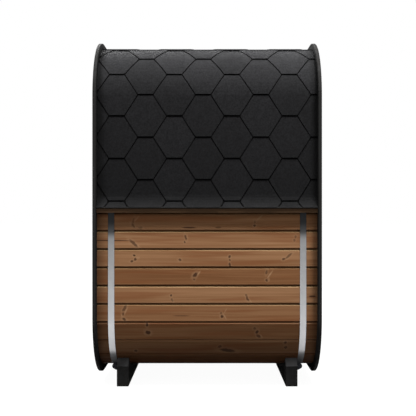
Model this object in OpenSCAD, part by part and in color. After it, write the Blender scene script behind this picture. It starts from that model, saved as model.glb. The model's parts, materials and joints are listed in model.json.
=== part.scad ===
// Cube sauna: a rounded square barrel of interlocking staves on two saddle cradles.
// X runs along the barrel, the front side faces -Y, and Z = 0 is the level floor.

/* [Stave shell] */
// Length of the staves
stave_length = 1306; // [1000:1:2600]
// Outside width and height of the shell
body_size = 1970.6; // [1800:1:2400]
// Outside radius of the rounded corners
corner_radius = 332.3; // [260:1:420]
// Thickness of a stave
stave_thickness = 40; // [34:1:50]
// Cover width of a full stave
stave_width = 108.3; // [90:0.1:140]
// Number of bevelled staves that turn one corner
corner_staves = 4; // [3:1:6]
// How far each flat side runs on past the start of its corner
corner_lead = 30.6; // [10:0.1:40]

/* [Stave joints] */
// Leg of the chamfer on the weather side of a stave
outer_chamfer = 9; // [4:0.5:10]
// Leg of the chamfer on the room side of a stave
inner_chamfer = 3; // [1:0.5:5]
// Thickness of the tongue at its root
tongue_root = 12; // [8:0.5:14]
// How much thinner the tongue is at its tip
tongue_taper = 3; // [1:0.5:5]
// How far the tongue stands into the next stave
tongue_reach = 9; // [5:0.5:12]
// Clearance between neighbouring staves
joint_gap = 0.5; // [0.3:0.1:1]

/* [Rims] */
// Thickness of a rim, along the barrel
rim_thickness = 22; // [15:1:35]
// How far a rim stands out beyond the staves
rim_overhang = 45.7; // [42:1:70]
// How far a rim reaches in over the stave ends
rim_cover = 45; // [30:1:80]
// Radius of the rounded outer arris
rim_round = 6; // [2:0.5:9]
// Open joint between two rim pieces
rim_gap = 2; // [1:0.5:4]
// How far above the middle the upright rim pieces are centred
rim_rise = 25; // [0:1:40]

/* [Hoops] */
// Width of a steel hoop
hoop_width = 37; // [25:1:50]
// Thickness of a hoop
hoop_thickness = 1.2; // [0.8:0.1:2]
// From the stave ends to the middle of a hoop
hoop_inset = 84; // [60:0.5:85]
// How far below level, round the lower corner, the hoop is parted for its tightener
tightener_angle = 74.5; // [50:0.5:76]
// Gap between the two sockets of a tightener
socket_gap = 36; // [20:1:50]
// Length of a socket
socket_length = 34; // [20:1:45]
// Outer diameter of a socket
socket_diameter = 34; // [30:1:36]
// Diameter of the tightening bolt
bolt_diameter = 12; // [8:1:14]

/* [Cradles] */
// Thickness of a cradle, along the barrel
cradle_thickness = 70; // [45:1:100]
// From the stave ends to the outer side of a cradle
cradle_inset = 107; // [104:1:300]
// Overall length of a cradle
cradle_length = 1790; // [1740:1:1850]
// Height of a cradle under the flat bottom
cradle_height = 98; // [70:1:200]
// Height of the upright end of a cradle
cradle_end = 122; // [100:1:140]
// Slope of the bevel above that end, in degrees
cradle_slope = 42; // [30:0.5:48]

/* [Roofing] */
// Thickness of the roof covering
roofing_thickness = 7; // [5:0.5:12]
// How far the lower edge of the covering lies below the middle
eave_drop = 8; // [-60:1:100]
// Height over which the lower edge kicks outwards
kick_height = 78; // [50:1:120]
// How far the eave board stands out from the staves
eave_depth = 34; // [20:1:40]
// Height of the front edge of the eave board
eave_height = 24; // [15:1:50]

/* [End walls] */
// Thickness of an end wall
wall_thickness = 42; // [30:1:50]
// How far an end wall is set back from the stave ends
wall_recess = 90; // [70:1:200]
// Depth of the groove in the staves that holds an end wall
groove_depth = 12; // [6:0.5:14]
// Cover width of an end wall board
board_width = 108.3; // [80:0.1:160]
// Leg of the chamfer along a board
board_chamfer = 5; // [2:0.5:8]

/* [Door] */
// Width of the doorway between the wall boards
doorway_width = 730; // [600:1:900]
// From the inside of the bottom staves up to the foot of the doorway
doorway_foot = 62; // [30:1:120]
// From the inside of the top staves down to the head of the doorway
doorway_head = 92; // [40:1:200]
// Width of a door frame member, seen from the front
frame_width = 45; // [35:1:70]
// How far the door frame stands out from the end wall
frame_stand = 10; // [4:1:25]
// Depth of the door frame, along the barrel
frame_depth = 62; // [54:1:100]
// Depth of the rebate that the glass closes into
rebate_depth = 16; // [13:1:22]
// Width of the rebate
rebate_width = 12; // [8:1:18]
// Thickness of the door glass
glass_thickness = 8; // [6:1:10]
// Gap round the glass
glass_gap = 3; // [2:0.5:5]
// Length of the pull handle
handle_length = 420; // [250:1:800]
// Diameter of the pull handle
handle_diameter = 30; // [22:1:40]
// Free space behind the pull handle
handle_space = 34; // [28:1:60]
// From the edge of the door opening to the middle of the pull handle
handle_inset = 60; // [40:1:120]
// From each end of the pull handle to its fixing
handle_fixing = 60; // [30:1:100]
// Height of a door hinge
hinge_height = 64; // [50:1:100]
// From the head and the foot of the doorway to the middle of a hinge
hinge_inset = 260; // [150:1:400]

/* [Hidden] */

round_fn = 96;
small_fn = 32;
// Clearance where a piece lies on, or slides into, another
seat = 0.3;
// How far a cutting shape reaches past what it cuts
cut = 1;

half_body = body_size / 2;
corner_centre = half_body - corner_radius;
centre_z = cradle_height + half_body;
half_length = stave_length / 2;

timber = "#87644a";
dark_timber = "#32261c";
rim_black = "#2c2d30";
bitumen = "#26272a";
steel = "#b9bcbe";
dark_steel = "#33363a";
smoked_glass = "#5a5148";

// ---- The outline of the shell: one corner point for each stave joint, going round ----

lead_angle = atan(corner_lead / corner_radius);
joint_radius = corner_radius / cos(lead_angle);
corner_step = (90 - 2 * lead_angle) / corner_staves;
flat_run = 2 * (corner_centre + corner_lead);

// A flat side has full staves, and two equal narrower ones that close it
full_staves = floor(flat_run / stave_width) - 1;
closing_width = (flat_run - full_staves * stave_width) / 2;
flat_staves = full_staves + 2;

function side_joint(i) =
    -flat_run / 2 + min(i, full_staves) * stave_width + max(i - full_staves, 0) * closing_width;
function corner_joint(j) = lead_angle + j * corner_step;
function round_corner(c, s, swap) = [
    for (j = [0:corner_staves - 1])
        let (a = swap ? 90 - corner_joint(j) : corner_joint(j))
            [c[0] + s[0] * joint_radius * cos(a), c[1] + s[1] * joint_radius * sin(a)]
];

joints = concat(
    [for (i = [0:flat_staves - 1]) [-half_body, side_joint(i)]],
    round_corner([-corner_centre, corner_centre], [-1, 1], false),
    [for (i = [0:flat_staves - 1]) [side_joint(i), half_body]],
    round_corner([corner_centre, corner_centre], [1, 1], true),
    [for (i = [0:flat_staves - 1]) [half_body, side_joint(flat_staves - i)]],
    round_corner([corner_centre, -corner_centre], [1, -1], false),
    [for (i = [0:flat_staves - 1]) [side_joint(flat_staves - i), -half_body]],
    round_corner([-corner_centre, -corner_centre], [-1, -1], true)
);
count = len(joints);

// Where each run of staves starts in the list of joints
front_start = 0;
corner_front_high_start = flat_staves;
roof_start = corner_front_high_start + corner_staves;
corner_rear_high_start = roof_start + flat_staves;
rear_start = corner_rear_high_start + corner_staves;
corner_rear_low_start = rear_start + flat_staves;
floor_start = corner_rear_low_start + corner_staves;
corner_front_low_start = floor_start + flat_staves;

function unit(v) = v / norm(v);
function outward(v) = [-v[1], v[0]];
function joint_at(k) = joints[(k + count) % count];
// Direction of the face of stave k, and its outward normal
function along(k) = unit(joint_at(k + 1) - joint_at(k));
function normal(k) = outward(along(k));
// The joint line mitres the two faces that meet at it
function miter(k) = (normal(k - 1) + normal(k)) / (1 + normal(k - 1) * normal(k));
function at_depth(k, d) = joint_at(k) - d * miter(k);
// Forward direction, square to the joint line
function forward(k) = let (m = unit(miter(k))) [m[1], -m[0]];

// ---- The stave: an outline with a groove on one edge and a tongue on the other ----

tongue_depth = stave_thickness / 2;

function edge_start(k) = let (
    f = forward(k),
    g = joint_gap / 2,
    root = tongue_root / 2 + joint_gap,
    tip = (tongue_root - tongue_taper) / 2 + joint_gap,
    deep = tongue_reach + joint_gap
) [
    at_depth(k, outer_chamfer) + g * f,
    at_depth(k, tongue_depth - root) + g * f,
    at_depth(k, tongue_depth - tip) + deep * f,
    at_depth(k, tongue_depth + tip) + deep * f,
    at_depth(k, tongue_depth + root) + g * f,
    at_depth(k, stave_thickness - inner_chamfer) + g * f
];
function edge_end(k) = let (
    f = forward(k),
    g = joint_gap / 2,
    root = tongue_root / 2,
    tip = (tongue_root - tongue_taper) / 2
) [
    at_depth(k, stave_thickness - inner_chamfer) - g * f,
    at_depth(k, tongue_depth + root) - g * f,
    at_depth(k, tongue_depth + tip) + tongue_reach * f,
    at_depth(k, tongue_depth - tip) + tongue_reach * f,
    at_depth(k, tongue_depth - root) - g * f,
    at_depth(k, outer_chamfer) - g * f
];
function stave_outline(k) = concat(
    [joint_at(k) + outer_chamfer * along(k)],
    edge_start(k),
    [at_depth(k, stave_thickness) + inner_chamfer * along(k)],
    [at_depth(k + 1, stave_thickness) - inner_chamfer * along(k)],
    edge_end(k + 1),
    [joint_at(k + 1) - outer_chamfer * along(k)]
);

// Draws its children in the plane of the section, [Y, Z] from the middle, starting at x
module section(x) {
    translate([x, 0, centre_z]) rotate([90, 0, 90]) children();
}
module both_ends() {
    children();
    mirror([1, 0, 0]) children();
}

// The shell's section at one depth below its outer face, with one point per corner joint
function corner_points(start, depth) = [
    for (j = [0:corner_staves]) at_depth(start + j, depth)
];
function shell_outline(depth) = concat(
    corner_points(corner_front_high_start, depth),
    corner_points(corner_rear_high_start, depth),
    corner_points(corner_rear_low_start, depth),
    corner_points(corner_front_low_start, depth)
);

wall_outer_x = half_length - wall_recess;
wall_inner_x = wall_outer_x - wall_thickness;

module wall_groove() {
    section(wall_inner_x - seat)
        linear_extrude(wall_thickness + 2 * seat)
            polygon(shell_outline(stave_thickness - groove_depth));
}
module stave_run(start, number) {
    color(timber)
        difference() {
            section(-half_length)
                for (k = [start:start + number - 1])
                    linear_extrude(stave_length) polygon(stave_outline(k));
            both_ends() wall_groove();
        }
}

// ---- Things that run round the shell: a profile is drawn as [distance out from the
// stave face, distance along the barrel] and swept along one side or round one corner ----

// Turns for the four sides; each sweep's corner lies at the far end of its side
TOP = 0;
FRONT = 90;
BOTTOM = 180;
REAR = -90;

module sweep_side(turn, from, to) {
    rotate([0, 0, turn])
        translate([from, half_body, 0])
            rotate([90, 0, 90])
                linear_extrude(to - from) children();
}
module corner_ring(turn) {
    rotate_extrude(angle = turn, $fn = round_fn)
        translate([corner_radius, 0]) children();
}
// From one angle to another, drawn from the end that meets a side, so that they join exactly
module sweep_corner(turn, from, to) {
    rotate([0, 0, turn])
        translate([corner_centre, corner_centre, 0])
            if (to == 90)
                rotate([0, 0, 90]) mirror([0, 1, 0]) corner_ring(to - from) children();
            else
                rotate([0, 0, from]) corner_ring(to - from) children();
}
module front_and_rear() {
    children();
    mirror([1, 0, 0]) children();
}

// ---- Cradles: a plank cut out to the shell, with a bevel at each end ----

bevel_run = cradle_length / 2 - corner_centre;

module cradle() {
    section(half_length - cradle_inset - cradle_thickness)
        linear_extrude(cradle_thickness)
            difference() {
                translate([0, -centre_z])
                    polygon([
                        [-cradle_length / 2, 0],
                        [cradle_length / 2, 0],
                        [cradle_length / 2, cradle_end],
                        [cradle_length / 2 - bevel_run, cradle_end + bevel_run * tan(cradle_slope)],
                        [bevel_run - cradle_length / 2, cradle_end + bevel_run * tan(cradle_slope)],
                        [-cradle_length / 2, cradle_end]
                    ]);
                polygon(shell_outline(-seat));
            }
}
module cradle_right() { color(rim_black) cradle(); }
module cradle_left() { color(rim_black) mirror([1, 0, 0]) cradle(); }

// ---- Staves ----

module staves_floor() { stave_run(floor_start, flat_staves); }
module staves_front() { stave_run(front_start, flat_staves); }
module staves_rear() { stave_run(rear_start, flat_staves); }
module staves_roof() { stave_run(roof_start, flat_staves); }
module staves_corner_front_low() { stave_run(corner_front_low_start, corner_staves); }
module staves_corner_front_high() { stave_run(corner_front_high_start, corner_staves); }
module staves_corner_rear_low() { stave_run(corner_rear_low_start, corner_staves); }
module staves_corner_rear_high() { stave_run(corner_rear_high_start, corner_staves); }

// ---- Rims: a flat frame on the stave ends, in straight and curved pieces ----

// The outer arris of a rim is rounded in this many flats, and the others have small chamfers
rim_steps = 5;
rim_soft = 2;
rim_turn_gap = asin(rim_gap / 2 / (corner_radius + rim_overhang));
rise_angle = asin(rim_rise / (corner_radius + rim_overhang));

module rim_profile() {
    polygon(concat(
        [[-rim_cover, 0], [rim_overhang - rim_soft, 0], [rim_overhang, rim_soft]],
        [for (i = [0:rim_steps])
            let (a = 90 * i / rim_steps)
                [rim_overhang - rim_round * (1 - cos(a)), rim_thickness - rim_round * (1 - sin(a))]],
        [[rim_soft - rim_cover, rim_thickness], [-rim_cover, rim_thickness - rim_soft]]
    ));
}
module rim_frame() { color(rim_black) section(half_length) children(); }

module rim_front() {
    rim_frame() {
        sweep_side(FRONT, rim_rise - corner_centre + rim_gap / 2, corner_centre) rim_profile();
        sweep_corner(FRONT, 90 - rise_angle + rim_turn_gap, 90) rim_profile();
    }
}
module rim_rear() { mirror([0, 1, 0]) rim_front(); }
module rim_level(turn) {
    rim_frame()
        sweep_side(turn, rim_gap / 2 - corner_centre, corner_centre - rim_gap / 2) rim_profile();
}
module rim_corners_high() {
    rim_frame() front_and_rear() {
        sweep_corner(FRONT, 45 + rim_turn_gap, 90 - rise_angle - rim_turn_gap) rim_profile();
        sweep_corner(FRONT, rim_turn_gap, 45 - rim_turn_gap) rim_profile();
    }
}
module rim_corners_low() {
    rim_frame() front_and_rear() {
        sweep_corner(BOTTOM, 45 + rim_turn_gap, 90 - rim_turn_gap) rim_profile();
        union() {
            sweep_corner(BOTTOM, 0, 45 - rim_turn_gap) rim_profile();
            sweep_side(FRONT, -corner_centre, rim_rise - corner_centre - rim_gap / 2) rim_profile();
        }
    }
}
module rim_right_front() { rim_front(); }
module rim_right_rear() { rim_rear(); }
module rim_right_top() { rim_level(TOP); }
module rim_right_bottom() { rim_level(BOTTOM); }
module rim_right_corners_high() { rim_corners_high(); }
module rim_right_corners_low() { rim_corners_low(); }
module rim_left_front() { mirror([1, 0, 0]) rim_front(); }
module rim_left_rear() { mirror([1, 0, 0]) rim_rear(); }
module rim_left_top() { mirror([1, 0, 0]) rim_level(TOP); }
module rim_left_bottom() { mirror([1, 0, 0]) rim_level(BOTTOM); }
module rim_left_corners_high() { mirror([1, 0, 0]) rim_corners_high(); }
module rim_left_corners_low() { mirror([1, 0, 0]) rim_corners_low(); }

// ---- Hoops: each in two parts, with a socket of the tightener on each end ----

// A hoop stands clear of the stave joints where they ride over the round of the corner
hoop_clear = 1.2;
hoop_x = half_length - hoop_inset - hoop_width / 2;
hoop_radius = corner_radius + hoop_clear + hoop_thickness;
end_turn = asin(socket_gap / 2 / hoop_radius);

module hoop_profile() {
    translate([hoop_clear, 0]) square([hoop_thickness, hoop_width]);
}
module hoop_over() {
    color(steel) section(hoop_x) front_and_rear() {
        sweep_corner(BOTTOM, 0, tightener_angle - end_turn) hoop_profile();
        sweep_side(FRONT, -corner_centre, corner_centre) hoop_profile();
        sweep_corner(FRONT, 0, 90) hoop_profile();
        sweep_side(TOP, -corner_centre, 0) hoop_profile();
    }
}
module hoop_under() {
    color(steel) section(hoop_x) front_and_rear() {
        sweep_corner(BOTTOM, tightener_angle + end_turn, 90) hoop_profile();
        sweep_side(BOTTOM, 0, corner_centre) hoop_profile();
    }
}
module hoop_right_over() { hoop_over(); }
module hoop_right_under() { hoop_under(); }
module hoop_left_over() { mirror([1, 0, 0]) hoop_over(); }
module hoop_left_under() { mirror([1, 0, 0]) hoop_under(); }

// The space that a hoop takes under the roofing and the eave boards
module channel_profile() {
    translate([-seat, -seat])
        square([hoop_clear + hoop_thickness + 2 * seat, hoop_width + 2 * seat]);
}
module hoop_channel() {
    section(hoop_x) front_and_rear() {
        sweep_side(FRONT, -corner_centre, corner_centre) channel_profile();
        sweep_corner(FRONT, 0, 90) channel_profile();
        sweep_side(TOP, -corner_centre, 0) channel_profile();
    }
}

// ---- Tighteners: a socket on each end of the hoop, and a bolt that draws them together ----

// The foot that carries a socket on the round hoop: its width, and how far it stops short of
// the socket's ends
foot_width = 20;
foot_inset = 2;
// Enough for the foot to reach down into the hoop's round, before it is cut to fit
foot_reach = 12;
// Height and width over corners of a hexagon head, as parts of the bolt's diameter
head_height = 0.65 * bolt_diameter;
head_width = 1.9 * bolt_diameter;
// How far the bolt's thread shows past its nut
bolt_tail = 8;
socket_across = hoop_radius + seat + socket_diameter / 2;
bolt_reach = socket_gap / 2 + socket_length + seat;

// Places its children at the tightener: X outwards, Y round the shell, Z along the barrel
module at_tightener() {
    rotate([0, 0, BOTTOM])
        translate([corner_centre, corner_centre, 0])
            rotate([0, 0, tightener_angle]) children();
}
module along_bolt(from) {
    translate([socket_across, from, hoop_width / 2]) rotate([-90, 0, 0]) children();
}
module socket() {
    difference() {
        union() {
            along_bolt(socket_gap / 2) cylinder(d = socket_diameter, h = socket_length, $fn = small_fn);
            translate([hoop_radius - foot_reach, socket_gap / 2 + foot_inset, (hoop_width - foot_width) / 2])
                cube([socket_across - hoop_radius + foot_reach, socket_length - 2 * foot_inset, foot_width]);
        }
        translate([0, 0, -cut]) cylinder(r = hoop_radius + seat, h = hoop_width + 2 * cut, $fn = round_fn);
        along_bolt(0) cylinder(d = bolt_diameter + 2 * seat, h = bolt_reach + cut, $fn = small_fn);
    }
}
module tightener_bolt() {
    along_bolt(-bolt_reach - head_height)
        cylinder(d = head_width, h = head_height, $fn = 6);
    along_bolt(-bolt_reach - head_height)
        cylinder(d = bolt_diameter, h = 2 * (bolt_reach + head_height) + bolt_tail, $fn = small_fn);
    along_bolt(bolt_reach)
        cylinder(d = head_width, h = head_height, $fn = 6);
}
module tighteners() {
    color(dark_steel) section(hoop_x) front_and_rear() at_tightener() {
        socket();
        mirror([0, 1, 0]) socket();
        tightener_bolt();
    }
}
module tighteners_right() { tighteners(); }
module tighteners_left() { mirror([1, 0, 0]) tighteners(); }

// ---- Roofing: a skin over the upper half, kicked out over the eave boards ----

roofing_clear = hoop_clear;
// From the stave ends to the ends of the roofing
roofing_end = 1;
roofing_half = half_length - roofing_end;
// The kick is drawn in this many flats, and bends with this power of its height
kick_steps = 6;
kick_bend = 1.7;
eave_z = -eave_drop;

function kick_out(t) = eave_depth * pow(t, kick_bend);
function kick_lean(t) = eave_depth * kick_bend * pow(t, kick_bend - 1) / kick_height;
function kick_z(t) = eave_z + kick_height * (1 - t);
function front_point(out, z) = [-half_body - out, z];

module roofing_front_skin() {
    section(-roofing_half)
        linear_extrude(2 * roofing_half)
            polygon(concat(
                [front_point(roofing_clear, corner_centre - seat)],
                [for (i = [0:kick_steps])
                    let (t = i / kick_steps)
                        front_point(roofing_clear + kick_out(t), kick_z(t))],
                [for (i = [kick_steps:-1:0])
                    let (t = i / kick_steps, n = unit([1, kick_lean(t)]) * roofing_thickness)
                        front_point(roofing_clear + kick_out(t) + n[0], kick_z(t) + n[1])],
                [front_point(roofing_clear + roofing_thickness, corner_centre - seat)]
            ));
}
module roofing_front() {
    color(bitumen) difference() {
        roofing_front_skin();
        both_ends() hoop_channel();
    }
}
module roofing_rear() { mirror([0, 1, 0]) roofing_front(); }
module roofing_profile() {
    translate([roofing_clear, 0]) square([roofing_thickness, 2 * roofing_half]);
}
module roofing_crown() {
    color(bitumen) difference() {
        section(-roofing_half) {
            sweep_corner(FRONT, 0, 90) roofing_profile();
            sweep_side(TOP, -corner_centre, corner_centre) roofing_profile();
            sweep_corner(TOP, 0, 90) roofing_profile();
        }
        both_ends() hoop_channel();
    }
}

// The eave board fills the kick of the roofing, and its front edge shows below it.
// Its top edge lies this part of the way down the kick.
board_top = 0.3;

module eave_board_front() {
    color(dark_timber) difference() {
        section(-roofing_half)
            linear_extrude(2 * roofing_half)
                polygon(concat(
                    [front_point(seat, eave_z - eave_height), front_point(eave_depth, eave_z - eave_height)],
                    [for (i = [kick_steps:-1:0])
                        let (t = board_top + (1 - board_top) * i / kick_steps)
                            front_point(kick_out(t), kick_z(t))],
                    [front_point(seat, kick_z(board_top))]
                ));
        both_ends() hoop_channel();
    }
}
module eave_board_rear() { mirror([0, 1, 0]) eave_board_front(); }

// ---- End walls: level boards, let into the groove of the staves ----

// Room for the wall boards to swell, round their ends
wall_clear = 2;
board_foot = stave_thickness - half_body;
board_count = ceil((body_size - 2 * stave_thickness) / board_width);

function board_joint(k) = board_foot + k * board_width;
function board_face(x, inwards) = [
    for (k = [1:board_count - 1], side = [-1:1])
        [x + inwards * board_chamfer * (1 - abs(side)), board_joint(k) + side * board_chamfer]
];
function reversed(list) = [for (i = [len(list) - 1:-1:0]) list[i]];

// Boards from y0 to y1 and z0 to z1, cut to the outline of the shell
module wall_boards(y0, y1, z0, z1) {
    color(timber) intersection() {
        translate([0, y1, centre_z])
            rotate([90, 0, 0])
                linear_extrude(y1 - y0)
                    polygon(concat(
                        [[wall_outer_x, -half_body]],
                        board_face(wall_outer_x, -1),
                        [[wall_outer_x, half_body], [wall_inner_x, half_body]],
                        reversed(board_face(wall_inner_x, 1)),
                        [[wall_inner_x, -half_body]]
                    ));
        section(wall_inner_x - cut)
            linear_extrude(wall_thickness + 2 * cut)
                polygon(shell_outline(stave_thickness - groove_depth + wall_clear));
        translate([wall_inner_x - cut, y0, centre_z + z0])
            cube([wall_thickness + 2 * cut, y1 - y0, z1 - z0]);
    }
}
module end_wall_left() {
    mirror([1, 0, 0]) wall_boards(-half_body, half_body, -half_body, half_body);
}

door_half = doorway_width / 2;
door_z0 = board_foot + doorway_foot;
door_z1 = -board_foot - doorway_head;
doorway_height = door_z1 - door_z0;

module end_wall_right_front() { wall_boards(-half_body, -door_half, -half_body, half_body); }
module end_wall_right_rear() { wall_boards(door_half, half_body, -half_body, half_body); }
module end_wall_right_over() { wall_boards(-door_half + seat, door_half - seat, door_z1, half_body); }
module end_wall_right_under() { wall_boards(-door_half + seat, door_half - seat, -half_body, door_z0); }

// ---- Door: a rebated frame with four mitred members, and a glass leaf ----

frame_outer_x = wall_outer_x + frame_stand;
opening_half = door_half - frame_width;
opening_z0 = door_z0 + frame_width;
opening_z1 = door_z1 - frame_width;
mitre_depth = frame_width + cut;

// A rectangle in the plane of the door, grown on every side, from x0 to x1
module door_block(x0, x1, half, z0, z1, grow) {
    translate([x0, -half - grow, centre_z + z0 - grow])
        cube([x1 - x0, 2 * (half + grow), z1 - z0 + 2 * grow]);
}
module frame_ring() {
    difference() {
        door_block(frame_outer_x - frame_depth, frame_outer_x, door_half, door_z0, door_z1, -seat);
        door_block(frame_outer_x - frame_depth - cut, frame_outer_x + cut,
            opening_half, opening_z0, opening_z1, 0);
        door_block(frame_outer_x - rebate_depth, frame_outer_x + cut,
            opening_half, opening_z0, opening_z1, rebate_width);
    }
}
// Keeps the member along one side: the side runs from a to b, turned about the doorway's middle
module mitre(length, across, turn) {
    translate([frame_outer_x - frame_depth - cut, 0, centre_z + (door_z0 + door_z1) / 2])
        rotate([turn, 0, 0])
            rotate([90, 0, 90])
                linear_extrude(frame_depth + 2 * cut)
                    polygon([
                        [-length / 2 + seat, across / 2],
                        [length / 2 - seat, across / 2],
                        [length / 2 - mitre_depth - seat, across / 2 - mitre_depth],
                        [-length / 2 + mitre_depth + seat, across / 2 - mitre_depth]
                    ]);
}
module door_frame() {
    color(timber) for (turn = [0:90:270])
        let (upright = turn % 180 == 90)
            intersection() {
                frame_ring();
                mitre(upright ? doorway_height : doorway_width,
                    upright ? doorway_width : doorway_height, turn);
            }
}

// The glass lies on a seal of this thickness
glass_seal = 3;
glass_inner_x = frame_outer_x - rebate_depth + glass_seal;
glass_outer_x = glass_inner_x + glass_thickness;
glass_grow = rebate_width - glass_gap;
// The pins that pass through the glass
pin_diameter = 8;
handle_y = opening_half - handle_inset;
handle_z = (door_z0 + door_z1) / 2;
handle_pin = handle_length / 2 - handle_fixing;
// The hinge's clamp on the glass, and its distance from the edge of the opening
clamp_width = 44;
clamp_gap = 4;
clamp_y = -opening_half + clamp_gap + clamp_width / 2;
hinge_z = [door_z0 + hinge_inset, door_z1 - hinge_inset];

module through_glass(y, z, d) {
    translate([glass_inner_x - cut, y, centre_z + z])
        rotate([0, 90, 0])
            cylinder(d = d, h = glass_thickness + 2 * cut, $fn = small_fn);
}
module door_glass() {
    color(smoked_glass) difference() {
        door_block(glass_inner_x, glass_outer_x, opening_half, opening_z0, opening_z1, glass_grow);
        for (side = [-1, 1])
            through_glass(handle_y, handle_z + side * handle_pin, pin_diameter + 2 * seat);
        for (z = hinge_z)
            through_glass(clamp_y, z, pin_diameter + 2 * seat);
    }
}

// A pull bar on each side of the glass, joined by two pins
handle_out = handle_space + handle_diameter / 2;
// Leg of the chamfer at each end of a bar
bar_soft = 4;

module pull_bar(x) {
    translate([x, handle_y, centre_z + handle_z - handle_length / 2])
        rotate_extrude($fn = small_fn)
            polygon([
                [0, 0],
                [handle_diameter / 2 - bar_soft, 0],
                [handle_diameter / 2, bar_soft],
                [handle_diameter / 2, handle_length - bar_soft],
                [handle_diameter / 2 - bar_soft, handle_length],
                [0, handle_length]
            ]);
}
module door_handle() {
    color(timber) {
        pull_bar(glass_inner_x - handle_out);
        pull_bar(glass_outer_x + handle_out);
        for (side = [-1, 1])
            translate([glass_inner_x - handle_out, handle_y, centre_z + handle_z + side * handle_pin])
                rotate([0, 90, 0])
                    cylinder(d = pin_diameter, h = glass_thickness + 2 * handle_out, $fn = small_fn);
    }
}

// Hinges: a leaf on the frame, a leaf that clamps the glass, and a pin
knuckle_diameter = 13;
hinge_pin = 6;
hinge_pin_head = 3;
leaf_thickness = 3;
leaf_width = 30;
leaf_play = 1;
knuckle_x = frame_outer_x + seat + knuckle_diameter / 2;
knuckle_y = -opening_half - rebate_width / 2;
clamp_thickness = 5;

// One third of the hinge's height, counted from its foot
module knuckle(z, third) {
    translate([knuckle_x, knuckle_y, centre_z + z - hinge_height / 2 + third * hinge_height / 3 + seat / 2])
        cylinder(d = knuckle_diameter, h = hinge_height / 3 - seat, $fn = small_fn);
}
module hinge_bore(z) {
    translate([knuckle_x, knuckle_y, centre_z + z - hinge_height])
        cylinder(d = hinge_pin + 2 * seat, h = 2 * hinge_height, $fn = small_fn);
}
module frame_leaf(z) {
    difference() {
        union() {
            knuckle(z, 0);
            knuckle(z, 2);
            for (third = [0, 2])
                translate([frame_outer_x + seat, knuckle_y - leaf_width,
                        centre_z + z - hinge_height / 2 + third * hinge_height / 3 + seat / 2])
                    cube([leaf_thickness, leaf_width, hinge_height / 3 - seat]);
            translate([frame_outer_x + seat, knuckle_y - leaf_width, centre_z + z - hinge_height / 2 + seat / 2])
                cube([leaf_thickness, leaf_width - knuckle_diameter / 2 - leaf_play, hinge_height - seat]);
        }
        hinge_bore(z);
    }
}
module glass_leaf(z) {
    difference() {
        union() {
            knuckle(z, 1);
            translate([frame_outer_x + seat, knuckle_y, centre_z + z - hinge_height / 6 + seat / 2])
                cube([leaf_thickness, rebate_width, hinge_height / 3 - seat]);
            translate([glass_outer_x + seat, clamp_y - clamp_width / 2, centre_z + z - hinge_height / 2])
                cube([frame_outer_x + leaf_thickness - glass_outer_x, clamp_width, hinge_height]);
            translate([glass_inner_x - seat - clamp_thickness, clamp_y - clamp_width / 2,
                    centre_z + z - hinge_height / 2])
                cube([clamp_thickness, clamp_width, hinge_height]);
            translate([glass_inner_x - clamp_thickness, clamp_y, centre_z + z])
                rotate([0, 90, 0])
                    cylinder(d = pin_diameter, h = glass_thickness + 2 * clamp_thickness, $fn = small_fn);
        }
        hinge_bore(z);
    }
}
module hinge_pin_bar(z) {
    translate([knuckle_x, knuckle_y, centre_z + z - hinge_height / 2])
        cylinder(d = hinge_pin, h = hinge_height, $fn = small_fn);
    for (end = [0, 1])
        translate([knuckle_x, knuckle_y,
                centre_z + z - hinge_height / 2 + end * (hinge_height + hinge_pin_head) - hinge_pin_head])
            cylinder(d = knuckle_diameter - 2 * leaf_play, h = hinge_pin_head, $fn = small_fn);
}
module door_hinges() {
    color(steel) for (z = hinge_z) {
        frame_leaf(z);
        glass_leaf(z);
        hinge_pin_bar(z);
    }
}

cradle_left();
cradle_right();
staves_floor();
staves_front();
staves_rear();
staves_roof();
staves_corner_front_low();
staves_corner_front_high();
staves_corner_rear_low();
staves_corner_rear_high();
rim_left_front();
rim_left_rear();
rim_left_top();
rim_left_bottom();
rim_left_corners_high();
rim_left_corners_low();
rim_right_front();
rim_right_rear();
rim_right_top();
rim_right_bottom();
rim_right_corners_high();
rim_right_corners_low();
hoop_left_over();
hoop_left_under();
hoop_right_over();
hoop_right_under();
tighteners_left();
tighteners_right();
roofing_front();
roofing_crown();
roofing_rear();
eave_board_front();
eave_board_rear();
end_wall_left();
end_wall_right_front();
end_wall_right_rear();
end_wall_right_over();
end_wall_right_under();
door_frame();
door_glass();
door_handle();
door_hinges();
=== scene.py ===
# %% [markdown]
# # Dressing a cube sauna
# A cube sauna is a short barrel with rounded-square ends: heat-treated pine staves inside
# two steel hoops, black rims on the ends, and bitumen shingles over the upper half.
# The CAD model has all of those as exact solids. This lesson gives every solid a
# procedural finish, and adds what is too fine for the CAD: shingle tabs, screws and a seal.

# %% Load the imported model
import json
import math
import random

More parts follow.
